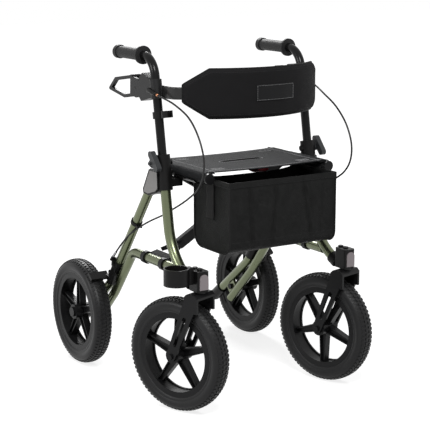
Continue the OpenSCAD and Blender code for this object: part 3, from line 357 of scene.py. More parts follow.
for side, s in SIDES:
    rim = outer_rim(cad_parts[f"housing_cover_{side}"], s)
    trim = tube(f"cover_trim_{side}", rim, TRIM_R, 8, black_nylon, closed=True)
    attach(trim, f"{side}_frame")

# Handles: steel tubes bent back at the top, glossy black, with rubber grips pushed on.
# Each carries a nylon bracket with the pivot of its brake lever.
tube_gloss = finish("tube_gloss", (0.006, 0.006, 0.0063), 0.2, 2400, 0.00002, gloss=0.16)
grip_rubber = finish("grip_rubber", (0.018, 0.018, 0.0185), 0.55, 900, 0.00015, gloss=0.2)
lever_nylon = finish("lever_nylon", (0.011, 0.011, 0.0115), 0.38, 1500, 0.0001, gloss=0.2)
paint(tube_gloss, *both("handle_tube"))
paint(grip_rubber, *both("handle_grip"))
paint(lever_nylon, *both("brake_lever", "brake_bracket"))

# Brake cables: sheathed wires from the bracket's barrel, in a free loop and through the clip,
# down to the brake's stop. Their upper ends go with the handle when it is raised.
CABLE_D = 0.005
CABLE_ROUTE = [
    (248, 381, 811), (245, 404, 806), (235, 452, 791), (230, 512, 764), (230, 558, 722), (230, 583, 672),
    (230, 580, 626), (228, 553, 589), (223, 502, 558), (216, 450, 533), (212, 402, 511), (215, 352, 486),
    (224, 300, 462), (233, 254, 437), (246, 222, 412), (251, 188, 382), (254, 162, 356), (255, 142, 336),
]
CABLE_STEPS = 7
FERRULE_D = 0.0072
FERRULE_POINTS = {"upper": slice(4), "lower": slice(-7, None)}
# The barrel's axis runs through these places, each with its radius.
BARREL = ((250.5, 340, 820, 5.0), (250.5, 343, 819.5, 6.4), (249.5, 366, 814.5, 6.2),
          (249, 372, 813, 5.2), (248.3, 379, 811.5, 4.8))
BARREL_SIDES = 20
copper_ferrule = finish("copper_ferrule", (0.42, 0.19, 0.10), 0.3, 1500, 0.00002, metal=1.0)
cable_sheath = finish("cable_sheath", (0.009, 0.009, 0.009), 0.34, 1800, 0.00003, gloss=0.3)


def eased(points, count):
    ends = [points[0], *points, points[-1]]
    out = []
    for a, b, c, d in zip(ends, ends[1:], ends[2:], ends[3:]):
        for k in range(count):
            t = k / count
            out.append(b + t * (c - a) / 2 + t * t * (a - 2.5 * b + 2 * c - d / 2)
                       + t ** 3 * (1.5 * (b - c) + (d - a) / 2))
    return [*out, points[-1]]


def barrel_piece(name, s):
    path = [mm(s * x, f, z) for x, f, z, _ in BARREL]
    piece = tube(name, path, 1.0, BARREL_SIDES, black_nylon)
    for i, vertex in enumerate(piece.data.vertices):
        middle = path[i // BARREL_SIDES]
        vertex.co = middle + (vertex.co - middle) * BARREL[i // BARREL_SIDES][3] / 1000
    return piece


for side, s in SIDES:
    line = eased([mm(s * x, f, z) for x, f, z in CABLE_ROUTE], CABLE_STEPS)
    cable = tube(f"cable_sheath_{side}", line, CABLE_D / 2, 14, cable_sheath)
    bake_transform(cable)
    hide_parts(f"brake_cable_{side}")
    for end, metal, body in (("upper", copper_ferrule, f"handle_{side}"),
                             ("lower", plated_steel, f"{side}_frame")):
        ferrule = tube(f"cable_ferrule_{end}_{side}", line[FERRULE_POINTS[end]], FERRULE_D / 2, 18, metal)
        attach(ferrule, body)
    barrel = barrel_piece(f"cable_barrel_{side}", s)
    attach(barrel, f"handle_{side}")

# Seat: a panel of coated woven cloth with a bound slot in the middle as a handhold.
# It is sewn to a sleeve round each seat rail. The sleeves, with their laps under the panel,
# are meshes of their own, because each goes with its rail.
RAIL_X = 187.0
RAIL_H = 609.0
SLEEVE_R = 13.2
SLEEVE_RISE = 1.8
SEAT_T = 2.4
SEAT_SAG = 3.0
SEAT_BACK_F = 280.0
SEAT_FRONT_F = 532.0
NOTCH_F = (319.5, 362.5)
SLOT_F = 400.0
SLOT_HALF = 55.0
SLOT_R = 7.0
SLOT_PULL = (-4.0, 3.2)
SLOT_EDGE = 0.4
SLEEVE_ANGLES = range(-205, 90, 10)
PANEL_STEPS = 62
SEAT_ROWS = 84
ROW_SNAP = 1.6
LAP_W = 22
LAP_STEP = 2
LAP_GAP = 0.9
LAP_EASE = 4
BINDING_R = 0.0018
SEAM_X = 165.0
SEAM_END = 4.0
CROSS_SEAM_X = 176.0
CROSS_SEAM_INSET = 12.0
RING_GROW = 5.5
MARK_X = (118.0, 150.0)
MARK_INSET = 36.0
MARK_HALF = 9.0


def weave_group():
    tree, enter, leave = shader_group(
        "cloth_weave",
        [("Threads", 700.0), ("Depth", 0.0002), ("Patch size", 14.0)],
        [("Normal", "NodeSocketVector"), ("Patches", "NodeSocketFloat")])
    coords = tree.nodes.new("ShaderNodeTexCoord")
    patches = tree.nodes.new("ShaderNodeTexNoise")
    patches.inputs["Detail"].default_value = 5.0
    bump = tree.nodes.new("ShaderNodeBump")
    crossing = tree.nodes.new("ShaderNodeMath")
    crossing.operation = "MULTIPLY"
    join = tree.links.new
    for slot, direction in enumerate(("X", "Y")):
        threads = tree.nodes.new("ShaderNodeTexWave")
        threads.bands_direction = direction
        threads.inputs["Distortion"].default_value = 0.4
        join(coords.outputs["UV"], threads.inputs["Vector"])
        join(enter.outputs["Threads"], threads.inputs["Scale"])
        join(threads.outputs["Fac"], crossing.inputs[slot])
    join(coords.outputs["Object"], patches.inputs["Vector"])
    join(enter.outputs["Patch size"], patches.inputs["Scale"])
    join(enter.outputs["Depth"], bump.inputs["Distance"])
    join(crossing.outputs["Value"], bump.inputs["Height"])
    join(bump.outputs["Normal"], leave.inputs["Normal"])
    join(patches.outputs["Fac"], leave.inputs["Patches"])
    return tree


WEAVE = weave_group()
seat_cloth = finish("seat_cloth", (0.018, 0.0185, 0.0195), 0.5, 260, 0.0002, gloss=0.02, tone=0.4,
                    group=WEAVE)
binding_cloth = finish("binding_cloth", (0.009, 0.009, 0.009), 0.6, 900, 0.0001, gloss=0.12)
thread_grey = finish("thread_grey", (0.3, 0.3, 0.305), 0.6, 2500, 0.00005)


def thickened(piece, thickness, offset=0.0):
    wall = piece.modifiers.new("wall", "SOLIDIFY")
    wall.thickness = thickness
    wall.offset = offset
    wall.use_even_offset = True
    graph = bpy.context.evaluated_depsgraph_get()
    mesh = bpy.data.meshes.new_from_object(piece.evaluated_get(graph))
    piece.modifiers.clear()
    piece.data = mesh
    mesh.shade_smooth()


def steps(a, b, n):
    return [a + (b - a) * k / n for k in range(n + 1)]


def seat_height(x):
    return RAIL_H + SLEEVE_R + SLEEVE_RISE - SEAT_SAG * (1 - (x / RAIL_X) ** 2)


def on_seat(x, f, lift=SEAT_T / 2):
    return mm(x, f, seat_height(x) + lift)


def seat_profile():
    wrap = [math.radians(a) for a in SLEEVE_ANGLES]
    left = [(RAIL_X + SLEEVE_R * math.cos(a),
             RAIL_H + (SLEEVE_R + SLEEVE_RISE * max(0.0, math.sin(a))) * math.sin(a)) for a in wrap]
    flat = [RAIL_X * (1 - k / PANEL_STEPS) for k in range(2 * PANEL_STEPS + 1)]
    panel = [(x, seat_height(x)) for x in flat]
    return [*left, *panel, *((-x, z) for x, z in reversed(left))], len(left)


def slot_gap(x, f):
    return math.hypot(max(0.0, abs(x) - SLOT_HALF), f - SLOT_F) - SLOT_R


def seat_rows():
    rows = []
    for f in steps(SEAT_BACK_F, SEAT_FRONT_F, SEAT_ROWS):
        notch = min(NOTCH_F, key=lambda n: abs(n - f))
        rows.append(notch if abs(notch - f) < ROW_SNAP else f)
    return rows


def in_notch(f):
    return NOTCH_F[0] < f < NOTCH_F[1]


def round_slot(x, f):
    reach = math.hypot(max(0.0, abs(x) - SLOT_HALF), f - SLOT_F)
    push = SLOT_R / max(reach, 1e-6)
    near = math.copysign(min(abs(x), SLOT_HALF), x)
    return near + (x - near) * push, SLOT_F + (f - SLOT_F) * push


def seat_points(rows, profile, wraps):
    run = [0.0]
    for (xa, za), (xb, zb) in zip(profile, profile[1:]):
        run.append(run[-1] + math.hypot(xb - xa, zb - za))
    points, uvs = [], []
    for f in rows:
        for i, (x, z) in enumerate(profile):
            panel = wraps < i < len(profile) - wraps
            by_slot = panel and SLOT_PULL[0] < slot_gap(x, f) < SLOT_PULL[1]
            points.append(mm(*round_slot(x, f), z) if by_slot else mm(x, f, z))
            uvs.append((run[i] / 1000, f / 1000))
    return points, uvs


def seat_faces(rows, profile, wraps):
    width = len(profile)
    faces = {"seat_cloth": [], "seat_sleeve_left": [], "seat_sleeve_right": []}
    for r, (back, front) in enumerate(zip(rows, rows[1:])):
        mid = (back + front) / 2
        for i in range(width - 1):
            x = (profile[i][0] + profile[i + 1][0]) / 2
            sleeve = i < wraps or i >= width - wraps - 1
            if in_notch(mid) if sleeve else slot_gap(x, mid) < -SLOT_EDGE:
                continue
            a = r * width + i
            zone = "seat_cloth" if not sleeve else "seat_sleeve_left" if i < wraps else "seat_sleeve_right"
            faces[zone].append((a, a + 1, a + width + 1, a + width))
    return faces


def add_lap(points, uvs, rows, s, edges):
    lap = [(RAIL_X - d, min(1.0, d / LAP_EASE) * (SEAT_T + LAP_GAP))
           for d in range(LAP_STEP, LAP_W + 1, LAP_STEP)]
    lines = []
    for f, edge in zip(rows, edges):
        lines.append([edge, *range(len(points), len(points) + len(lap))])
        points += [on_seat(s * x, f, -drop) for x, drop in lap]
        uvs += [(s * x / 1000, f / 1000) for x, _ in lap]
    quads = []
    for r, (here, there) in enumerate(zip(lines, lines[1:])):
        if not in_notch((rows[r] + rows[r + 1]) / 2):
            quads += zip(here, here[1:], there[1:], there)
    return quads if s > 0 else [tuple(reversed(quad)) for quad in quads]


def seat_pieces():
    profile, wraps = seat_profile()
    rows, width = seat_rows(), len(profile)
    points, uvs = seat_points(rows, profile, wraps)
    faces = seat_faces(rows, profile, wraps)
    for side, s in SIDES:
        column = wraps if s > 0 else width - wraps - 1
        edges = range(column, len(rows) * width, width)
        faces[f"seat_sleeve_{side}"] += add_lap(points, uvs, rows, s, edges)
    pieces = []
    for zone, quads in faces.items():
        used = sorted({i for quad in quads for i in quad})
        place = {i: k for k, i in enumerate(used)}
        quads = [tuple(place[i] for i in quad) for quad in quads]
        piece = mesh_piece(zone, [points[i] for i in used], quads, seat_cloth, [uvs[i] for i in used])
        thickened(piece, SEAT_T / 1000)
        pieces.append(piece)
    return pieces


def stitch_tree():
    tree, enter, leave = geometry_tree("stitch_run", [
        ("Spacing", "Float"), ("Length", "Float"), ("Width", "Float"), ("Thread", "Material")])
    make = tree.nodes.new
    line = make("GeometryNodeMeshToCurve")
    spaced = make("GeometryNodeResampleCurve")
    spaced.mode = "LENGTH"
    tangent = make("GeometryNodeInputTangent")
    aim = make("FunctionNodeAlignRotationToVector")
    aim.axis = "X"
    bead = make("GeometryNodeMeshUVSphere")
    bead.inputs["Segments"].default_value = 8
    bead.inputs["Rings"].default_value = 5
    bead.inputs["Radius"].default_value = 0.5
    size = make("ShaderNodeCombineXYZ")
    placed = make("GeometryNodeInstanceOnPoints")
    solid = make("GeometryNodeRealizeInstances")
    coloured = make("GeometryNodeSetMaterial")
    join = tree.links.new
    join(enter.outputs["Geometry"], line.inputs["Mesh"])
    join(line.outputs["Curve"], spaced.inputs["Curve"])
    join(enter.outputs["Spacing"], spaced.inputs["Length"])
    join(tangent.outputs["Tangent"], aim.inputs["Vector"])
    join(enter.outputs["Length"], size.inputs["X"])
    join(enter.outputs["Width"], size.inputs["Y"])
    join(enter.outputs["Width"], size.inputs["Z"])
    join(spaced.outputs["Curve"], placed.inputs["Points"])
    join(bead.outputs["Mesh"], placed.inputs["Instance"])
    join(aim.outputs["Rotation"], placed.inputs["Rotation"])
    join(size.outputs["Vector"], placed.inputs["Scale"])
    join(placed.outputs["Instances"], solid.inputs["Geometry"])
    join(solid.outputs["Geometry"], coloured.inputs["Geometry"])
    join(enter.outputs["Thread"], coloured.inputs["Material"])
    join(coloured.outputs["Geometry"], leave.inputs["Geometry"])
    return tree


STITCHES = stitch_tree()


def stitches(name, runs, spacing=0.0045, length=0.0032, width=0.0009, thread=None):
    points = [p for run in runs for p in run]
    edges, start = [], 0
    for run in runs:
        edges += [(start + k, start + k + 1) for k in range(len(run) - 1)]
        start += len(run)
    seed = bpy.data.meshes.new(f"{name}_line")
    seed.from_pydata([tuple(p) for p in points], edges, [])
    return grown(name, seed, STITCHES,
                 {"Spacing": spacing, "Length": length, "Width": width, "Thread": thread or thread_grey})


def on_left_rail(piece):
    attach(piece, "rail_left")
    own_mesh(piece)


def slot_outline(grow):
    r = SLOT_R + grow
    ends = [(s, [90 - k * 15 if s > 0 else 270 - k * 15 for k in range(13)]) for s in (1, -1)]
    return [(s * SLOT_HALF + r * math.cos(math.radians(a)), SLOT_F + r * math.sin(math.radians(a)))
            for s, angles in ends for a in angles]


seat, *sleeves = seat_pieces()
on_left_rail(seat)
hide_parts("seat_sling")
for (side, _), sleeve in zip(SIDES, sleeves):
    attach(sleeve, f"rail_{side}")
rim_line = [on_seat(x, f, SLOT_EDGE) for x, f in slot_outline(SLOT_EDGE)]
slot_binding = tube("seat_slot_binding", rim_line, BINDING_R, 10, binding_cloth, closed=True)
on_left_rail(slot_binding)
sleeve_seam = steps(SEAT_BACK_F + SEAM_END, SEAT_FRONT_F - SEAM_END, 60)
seams = [[on_seat(s * SEAM_X, f) for f in sleeve_seam] for s in (1, -1)]
for f in (SEAT_BACK_F + CROSS_SEAM_INSET, SEAT_FRONT_F - CROSS_SEAM_INSET):
    seams.append([on_seat(x, f) for x in steps(-CROSS_SEAM_X, CROSS_SEAM_X, 90)])
ring = slot_outline(RING_GROW)
seams.append([on_seat(x, f) for x, f in [*ring, ring[0]]])
for s in (1, -1):
    for f in (SEAT_BACK_F + MARK_INSET, SEAT_FRONT_F - MARK_INSET):
        (near, far), back, front = MARK_X, f - MARK_HALF, f + MARK_HALF
        corners = [(s * near, back), (s * far, back), (s * far, front), (s * near, front)]
        trace = [*corners, corners[0], corners[2], corners[3], corners[1]]
        seams.append([on_seat(xa + (xb - xa) * t, fa + (fb - fa) * t)
                      for (xa, fa), (xb, fb) in zip(trace, trace[1:]) for t in (0, 0.2, 0.4, 0.6, 0.8)])
seat_stitches = stitches("seat_stitches", seams, spacing=0.0052, length=0.0044, width=0.0017)
on_left_rail(seat_stitches)

# Pull strap: a loop of red webbing sewn under the seat, pulled up to fold the frame.
# The two ends are stitched flat against the cloth.
STRAP_W = 30.0
STRAP_T = 1.8
STRAP_F = (446.0, 512.0)
STRAP_INSET = 1.0
STRAP_LOW = 603.5
STRAP_GAP = 1.1
STRAP_PINCH = 0.25
STRAP_STEPS = 48
red_webbing = finish("red_webbing", (0.30, 0.006, 0.018), 0.6, 420, 0.0002, sheen=0.2, tone=0.2, group=WEAVE)


def band_loop(name, line, across, thickness, mat, closed=True):
    points, uvs, faces = [], [], []
    wide = 9
    run = 0.0
    for i, p in enumerate(line):
        run += (p - line[i - 1]).length if i else 0.0
        for k in range(wide):
            points.append(p + across * (k / (wide - 1) - 0.5))
            uvs.append((across.length * k / (wide - 1), run))
    for i in range(len(line) if closed else len(line) - 1):
        for k in range(wide - 1):
            a, b = i * wide + k, (i + 1) % len(line) * wide + k
            faces.append((a, a + 1, b + 1, b))
    piece = mesh_piece(name, points, faces, mat, uvs)
    thickened(piece, thickness)
    return piece


mid_f = sum(STRAP_F) / 2
half_f = (STRAP_F[1] - STRAP_F[0]) / 2 - STRAP_INSET
under = seat_height(0) - SEAT_T / 2 - STRAP_GAP
loop = []
for k in range(STRAP_STEPS):
    a = 2 * math.pi * k / STRAP_STEPS
    drop = (1 - math.cos(a)) / 2
    reach = half_f * math.sin(a) * (1 - STRAP_PINCH * drop)
    loop.append(mm(0, mid_f + reach, under - (under - STRAP_LOW) * drop))
pull_strap = band_loop("pull_webbing", loop, Vector((STRAP_W / 1000, 0, 0)), STRAP_T / 1000, red_webbing)
on_left_rail(pull_strap)
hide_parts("pull_strap")

# Bag: black nylon cloth, one strip for front, bottom and back and two sewn-in sides.
# The seams are piped, the top is hemmed, and webbing hangs it from the rails.
BAG_HALF = 165.5
BAG_F = (431.5, 602.0)
BAG_Z = (417.0, 604.0)
BAG_FRONT_R = 30.0
BAG_BACK_R = 38.0
BAG_T = 0.0016
BAG_COLUMNS = 110
BAG_WELD = 0.0004
BAG_SWELL = 4.5
BAG_HOLLOW = 1.0
LOW_SWELL_SHARE = 0.45
BACK_SAG = 13.0
SIDE_SLACK = 2.0
# A ripple is its height, size and seed.
FRONT_RIPPLE = (3.4, 46, 3.1)
FRONT_WRINKLE = (2.4, 19, 8.7)
SIDE_RIPPLE = (2.2, 40, 5.5)
WRINKLE_SLANT = (0.5, 0.6)
SIDE_SEED = 60
FRONT_EASE = (3.5, 6.0, 5.0)
SIDE_EASE = 5.0
CREASE_W = 5.0
CREASE_Z = 510.0
# A crease is its place across, lean and depth.
BAG_CREASES = ((-100, 0.055, 2.8), (-30, -0.08, 3.4), (75, 0.16, 3.4), (122, -0.1, 1.6))
HEM = 15.0
HEM_RISE = 0.8
HEM_LIFT = 1.1
HEM_T = 0.0014
HEM_BACK_END = 2.0
HEM_FRONT_END = 0.1
HEM_STITCH = 2.5
HEM_STITCH_LIFT = 2.1
LOW_STITCH = 3.0
LOW_STITCH_INSET = 6.0
LOW_STITCH_LIFT = 0.3
PIPING_R = 0.0021
WEBBING_F = (495.0, 529.0)
WEBBING_LOW = 500.0
WEBBING_BEND = 3.0
WEBBING_LIFT = 1.4
WEBBING_HOOK = ((169.5, 605), (173.6, 607))
WEBBING_T = 0.0016
DRAPE_PITCH = 0.003
thread_dark = finish("thread_dark", (0.03, 0.03, 0.031), 0.6, 2500, 0.00005, gloss=0.2)
bag_cloth = finish("bag_cloth", (0.006, 0.0062, 0.006), 0.4, 420, 0.00025, gloss=0.1, tone=0.3, group=WEAVE)
bag_piping = finish("bag_piping", (0.006, 0.006, 0.006), 0.5, 900, 0.0001, gloss=0.15)
bag_webbing = finish("bag_webbing", (0.007, 0.007, 0.007), 0.6, 420, 0.0002, gloss=0.15, tone=0.2,
                     group=WEAVE)


def corner(cf, cz, r, start, end, n):
    turns = [math.radians(a) for a in steps(start, end, n)]
    return [(cf + r * math.cos(a), cz + r * math.sin(a)) for a in turns]


def bag_profile():
    top, low = BAG_Z[1], BAG_Z[0]
    front_z, back_z = low + BAG_FRONT_R, low + BAG_BACK_R
    front = [(BAG_F[1], z) for z in steps(top, front_z, 46)][:-1]
    front += corner(BAG_F[1] - BAG_FRONT_R, front_z, BAG_FRONT_R, 0, -90, 10)
    back = [(BAG_F[0], z) for z in steps(top, back_z, 44)][:-1]
    back += corner(BAG_F[0] + BAG_BACK_R, back_z, BAG_BACK_R, 180, 270, 12)
    bottom = [(f, low) for f in steps(front[-1][0], back[-1][0], 22)][1:-1]
    return front, bottom, back


def ripple(p, height, size, seed):
    return height * noise.noise(Vector((p[0] / size + seed, p[1] / size, p[2] / size)))


def front_swell(x, f, z):
    across = 1 - (x / BAG_HALF) ** 2
    down = max(0.0, min(1.0, (BAG_Z[1] - z) / (BAG_Z[1] - BAG_Z[0])))
    body = across * (BAG_SWELL * math.sin(math.pi * down) - BAG_HOLLOW)
    crease = sum(depth * math.exp(-((x - c + lean * (z - CREASE_Z)) / CREASE_W) ** 2)
                 for c, lean, depth in BAG_CREASES)
    slanted = WRINKLE_SLANT[1] * z + WRINKLE_SLANT[0] * x
    soft = ripple((x, f, z), *FRONT_RIPPLE) + ripple((x, slanted, z), *FRONT_WRINKLE)
    ease = 1.0
    for share, rate in zip((across, down, 1 - down), FRONT_EASE):
        ease *= min(1.0, share * rate)
    return body + (soft - crease) * ease


def grid_faces(start, rows, wide):
    corners = [start + r * wide + k for r in range(rows - 1) for k in range(wide - 1)]
    return [(a, a + 1, a + wide + 1, a + wide) for a in corners]


def bag_strip(front, bottom, back):
    strip = [*front, *bottom, *reversed(back)]
    xs = steps(-BAG_HALF, BAG_HALF, BAG_COLUMNS)
    points, uvs = [], []
    run = 0.0
    for i, (f, z) in enumerate(strip):
        before, after = strip[max(i - 1, 0)], strip[min(i + 1, len(strip) - 1)]
        df, dz = after[0] - before[0], after[1] - before[1]
        size = math.hypot(df, dz)
        nf, nz = -dz / size, df / size
        run += math.hypot(f - strip[i - 1][0], z - strip[i - 1][1]) if i else 0.0
        swell = 1.0 if i < len(front) else LOW_SWELL_SHARE
        slump = BACK_SAG if i >= len(front) + len(bottom) else 0.0
        for x in xs:
            out = front_swell(x, f, z) * swell
            sag = slump * (1 - (x / BAG_HALF) ** 4) * (z - BAG_Z[0]) / (BAG_Z[1] - BAG_Z[0])
            points.append(mm(x, f + nf * out, z + nz * out - sag))
            uvs.append((x / 1000, run / 1000))
    return points, uvs, grid_faces(0, len(strip), len(xs))


def bag_side(s, front, back, columns, start):
    points, uvs = [], []
    rows = len(front)
    for r in range(rows):
        (fa, za), (fb, zb) = front[r], back[round(r * (len(back) - 1) / (rows - 1))]
        for c in range(columns):
            t = c / (columns - 1)
            f, z = fa + (fb - fa) * t, za + (zb - za) * t
            edge = min(1.0, SIDE_EASE * t * (1 - t)) * min(1.0, SIDE_EASE * (rows - 1 - r) / rows)
            slack = (ripple((s * SIDE_SEED, f, z), *SIDE_RIPPLE) - SIDE_SLACK) * edge
            points.append(mm(s * (BAG_HALF + slack), f, z))
            uvs.append((f / 1000, z / 1000))
    faces = grid_faces(start, rows, columns)
    return points, uvs, faces if s < 0 else [tuple(reversed(quad)) for quad in faces]


def bag_piece():
    front, bottom, back = bag_profile()
    points, uvs, faces = bag_strip(front, bottom, back)
    for s in (1, -1):
        panel = bag_side(s, front, back, len(bottom) + 2, len(points))
        for whole, more in zip((points, uvs, faces), panel):
            whole += more
    piece = mesh_piece("bag_cloth", points, faces, bag_cloth, uvs)
    shell = bmesh.new()
    shell.from_mesh(piece.data)
    bmesh.ops.remove_doubles(shell, verts=shell.verts, dist=BAG_WELD)
    bmesh.ops.recalc_face_normals(shell, faces=shell.faces)
    shell.to_mesh(piece.data)
    shell.free()
    thickened(piece, BAG_T, -1.0)
    return piece


def bag_skin(x, f, z, lift):
    if f < BAG_F[1]:
        return mm(math.copysign(BAG_HALF + lift, x), f, z)
    return mm(x, f + front_swell(x, f, z) + lift, z)


def round_bag(z, lift):
    depth = steps(BAG_F[0] + HEM_BACK_END, BAG_F[1] - HEM_FRONT_END, 40)
    near, far = ([bag_skin(s * BAG_HALF, f, z, lift) for f in depth] for s in (-1, 1))
    front = [bag_skin(x, BAG_F[1], z, lift) for x in steps(-BAG_HALF - lift, BAG_HALF + lift, BAG_COLUMNS)]
    return [*near, *front, *reversed(far)]


def draped(name, lines, mat, thickness):
    wide = len(lines[0])
    points = [p for line in lines for p in line]
    uvs = [(k * DRAPE_PITCH, r * DRAPE_PITCH) for r in range(len(lines)) for k in range(wide)]
    piece = mesh_piece(name, points, grid_faces(0, len(lines), wide), mat, uvs)
    thickened(piece, thickness)
    return piece


bag = bag_piece()
on_left_rail(bag)
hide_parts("bag")
hem_lines = [round_bag(BAG_Z[1] + HEM_RISE - d, HEM_LIFT) for d in steps(0, HEM, 5)]
trim = [draped("bag_hem", hem_lines, bag_cloth, HEM_T)]
front_line, bottom_line, back_line = bag_profile()
for side, s in SIDES:
    seam = [mm(s * BAG_HALF, f, z) for f, z in [*front_line, *bottom_line, *reversed(back_line)]]
    trim.append(tube(f"bag_piping_{side}", seam, PIPING_R, 8, bag_piping))
    hang = [(BAG_HALF + WEBBING_LIFT, z) for z in steps(WEBBING_LOW, BAG_Z[1] - WEBBING_BEND, 30)]
    hang += WEBBING_HOOK
    lines = [[mm(s * x, f, z) for x, z in hang] for f in steps(*WEBBING_F, 6)]
    trim.append(draped(f"bag_webbing_{side}", lines, bag_webbing, WEBBING_T))
seams = [round_bag(BAG_Z[1] - HEM + HEM_STITCH, HEM_STITCH_LIFT)]
seam_z = BAG_Z[0] + BAG_FRONT_R + LOW_STITCH
seam_x = BAG_HALF - LOW_STITCH_INSET
seams.append([bag_skin(x, BAG_F[1], seam_z, LOW_STITCH_LIFT) for x in steps(-seam_x, seam_x, 100)])
trim.append(stitches("bag_stitches", seams, thread=thread_dark))
for piece in trim:
    on_left_rail(piece)

# Back band: a foam pad in black cloth with bound edges, on a springy flat band.
# The band's ends are held in the handle brackets, so the pad curves forward.
PAD_R = 300.0
PAD_FRONT_F = 531.0
PAD_TURN = 43.0
PAD_CORNER_R = 72.0
PAD_MID_H = 817.0
PAD_H = 126.0
PAD_T = 18.0
PAD_FULL = 187.0
PAD_END = 259.0
PAD_SHIFT = 25.0
PAD_END_H = 44.0
PAD_EDGE_T = 1.5
PAD_RIM = 13.0
PAD_END_RIM = 26.0
PAD_RIPPLE = (0.9, 38, 2.2)
PAD_FACE_SEED = 50
PAD_COLUMNS = 150
PAD_ROWS = 22
PAD_BINDING_R = 0.0026
PAD_STITCH_END = 12.0
PAD_STITCH_INSET = 9.0
PAD_STITCH_LIFT = 0.2
PATCH_ALONG = (-37.0, 87.0)
PATCH_RISE = (-22.0, 21.0)
PATCH_T = 0.0012
PATCH_LIFT = 0.5
PATCH_STITCH_INSET = 3.0
PATCH_STITCH_LIFT = 1.3
BAND_H = 0.032
BAND_T = 0.003
BAND_TUCK = 14.0
BAND_EASE = 24.0
BAND_DEPTH = 2.0
BAND_GAP = 0.5
patch_cloth = finish("patch_cloth", (0.006, 0.006, 0.0065), 0.6, 700, 0.0001, gloss=0.15, tone=0.1,
                     group=WEAVE)
pad_cloth = finish("pad_cloth", (0.0095, 0.0092, 0.0098), 0.72, 520, 0.0002, gloss=0.1, tone=0.15,
                   group=WEAVE)
band_gloss = finish("band_gloss", (0.012, 0.012, 0.012), 0.3, 900, 0.00005, gloss=0.35)


def arc(r, a):
    return r * math.radians(a)


PAD_ARC = arc(PAD_R, PAD_TURN)
PAD_BEND = PAD_ARC + arc(PAD_CORNER_R, 90 - PAD_TURN)
BEND_F = PAD_FRONT_F - PAD_R + (PAD_R - PAD_CORNER_R) * math.cos(math.radians(PAD_TURN))
BEND_X = (PAD_R - PAD_CORNER_R) * math.sin(math.radians(PAD_TURN))


def band_plan(way):
    hand, way = (-1, -way) if way < 0 else (1, way)
    if way < PAD_ARC:
        a = math.radians(PAD_TURN * way / PAD_ARC)
        x, f = PAD_R * math.sin(a), PAD_FRONT_F - PAD_R + PAD_R * math.cos(a)
    elif way < PAD_BEND:
        a = math.radians(PAD_TURN + (90 - PAD_TURN) * (way - PAD_ARC) / (PAD_BEND - PAD_ARC))
        x, f = BEND_X + PAD_CORNER_R * math.sin(a), BEND_F + PAD_CORNER_R * math.cos(a)
    else:
        a = math.pi / 2
        x, f = BEND_X + PAD_CORNER_R, BEND_F - (way - PAD_BEND)
    return hand * x, f, hand * math.sin(a), math.cos(a)


def on_band(way, z, depth):
    x, f, nx, nf = band_plan(way)
    return mm(x - nx * depth, f - nf * depth, z)


def pad_half_h(way):
    t = max(0.0, min(1.0, (PAD_END - abs(way - PAD_SHIFT)) / (PAD_END - PAD_FULL)))
    return (PAD_END_H + (PAD_H - PAD_END_H) * t) / 2


def pad_half_t(way, rise, face_side):
    rim = min(1.0, (pad_half_h(way) - abs(rise)) / PAD_RIM)
    end = min(1.0, (PAD_END - abs(way - PAD_SHIFT)) / PAD_END_RIM)
    puff = math.sqrt(max(0.0, 1 - (1 - rim) ** 2)) * math.sqrt(max(0.0, 1 - (1 - end) ** 2))
    full = PAD_T / 2 - PAD_EDGE_T + ripple((way, rise, face_side * PAD_FACE_SEED), *PAD_RIPPLE)
    return PAD_EDGE_T + full * puff


def on_pad(way, rise, lift):
    return on_band(way, PAD_MID_H + rise, PAD_T / 2 - pad_half_t(way, rise, 0) - lift)


def pad_piece():
    columns = steps(PAD_SHIFT - PAD_END, PAD_SHIFT + PAD_END, PAD_COLUMNS)
    tall = PAD_ROWS + 1
    points, uvs, faces = [], [], []
    for face_side in (0, 1):
        for way in columns:
            half = pad_half_h(way)
            for k in range(tall):
                v = -1 + 2 * k / PAD_ROWS
                half_t = pad_half_t(way, v * half, face_side)
                depth = PAD_T / 2 + (half_t if face_side else -half_t)
                points.append(on_band(way, PAD_MID_H + v * half, depth))
                uvs.append((way / 1000, v * half / 1000))
    count = len(columns) * tall
    for face_side in (0, 1):
        for i in range(PAD_COLUMNS):
            for k in range(PAD_ROWS):
                a = face_side * count + i * tall + k
                quad = (a, a + 1, a + tall + 1, a + tall)
                faces.append(quad if face_side else tuple(reversed(quad)))
    for i in range(PAD_COLUMNS):
        for k in (0, PAD_ROWS):
            a = i * tall + k
            quad = (a, a + tall, a + tall + count, a + count)
            faces.append(quad if k else tuple(reversed(quad)))
    for i in (0, PAD_COLUMNS):
        for k in range(PAD_ROWS):
            a = i * tall + k
            quad = (a, a + 1, a + 1 + count, a + count)
            faces.append(quad if i == 0 else tuple(reversed(quad)))
    piece = mesh_piece("back_pad", points, faces, pad_cloth, uvs)
    shell = bmesh.new()
    shell.from_mesh(piece.data)
    bmesh.ops.recalc_face_normals(shell, faces=shell.faces)
    shell.to_mesh(piece.data)
    shell.free()
    return piece


def on_left_handle(piece):
    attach(piece, "handle_left")
    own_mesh(piece)


def band_depth(way, start):
    t = max(0.0, min(1.0, (way - start) / BAND_EASE))
    return PAD_T / 2 + (BAND_DEPTH - PAD_T / 2) * t * t * (3 - 2 * t)


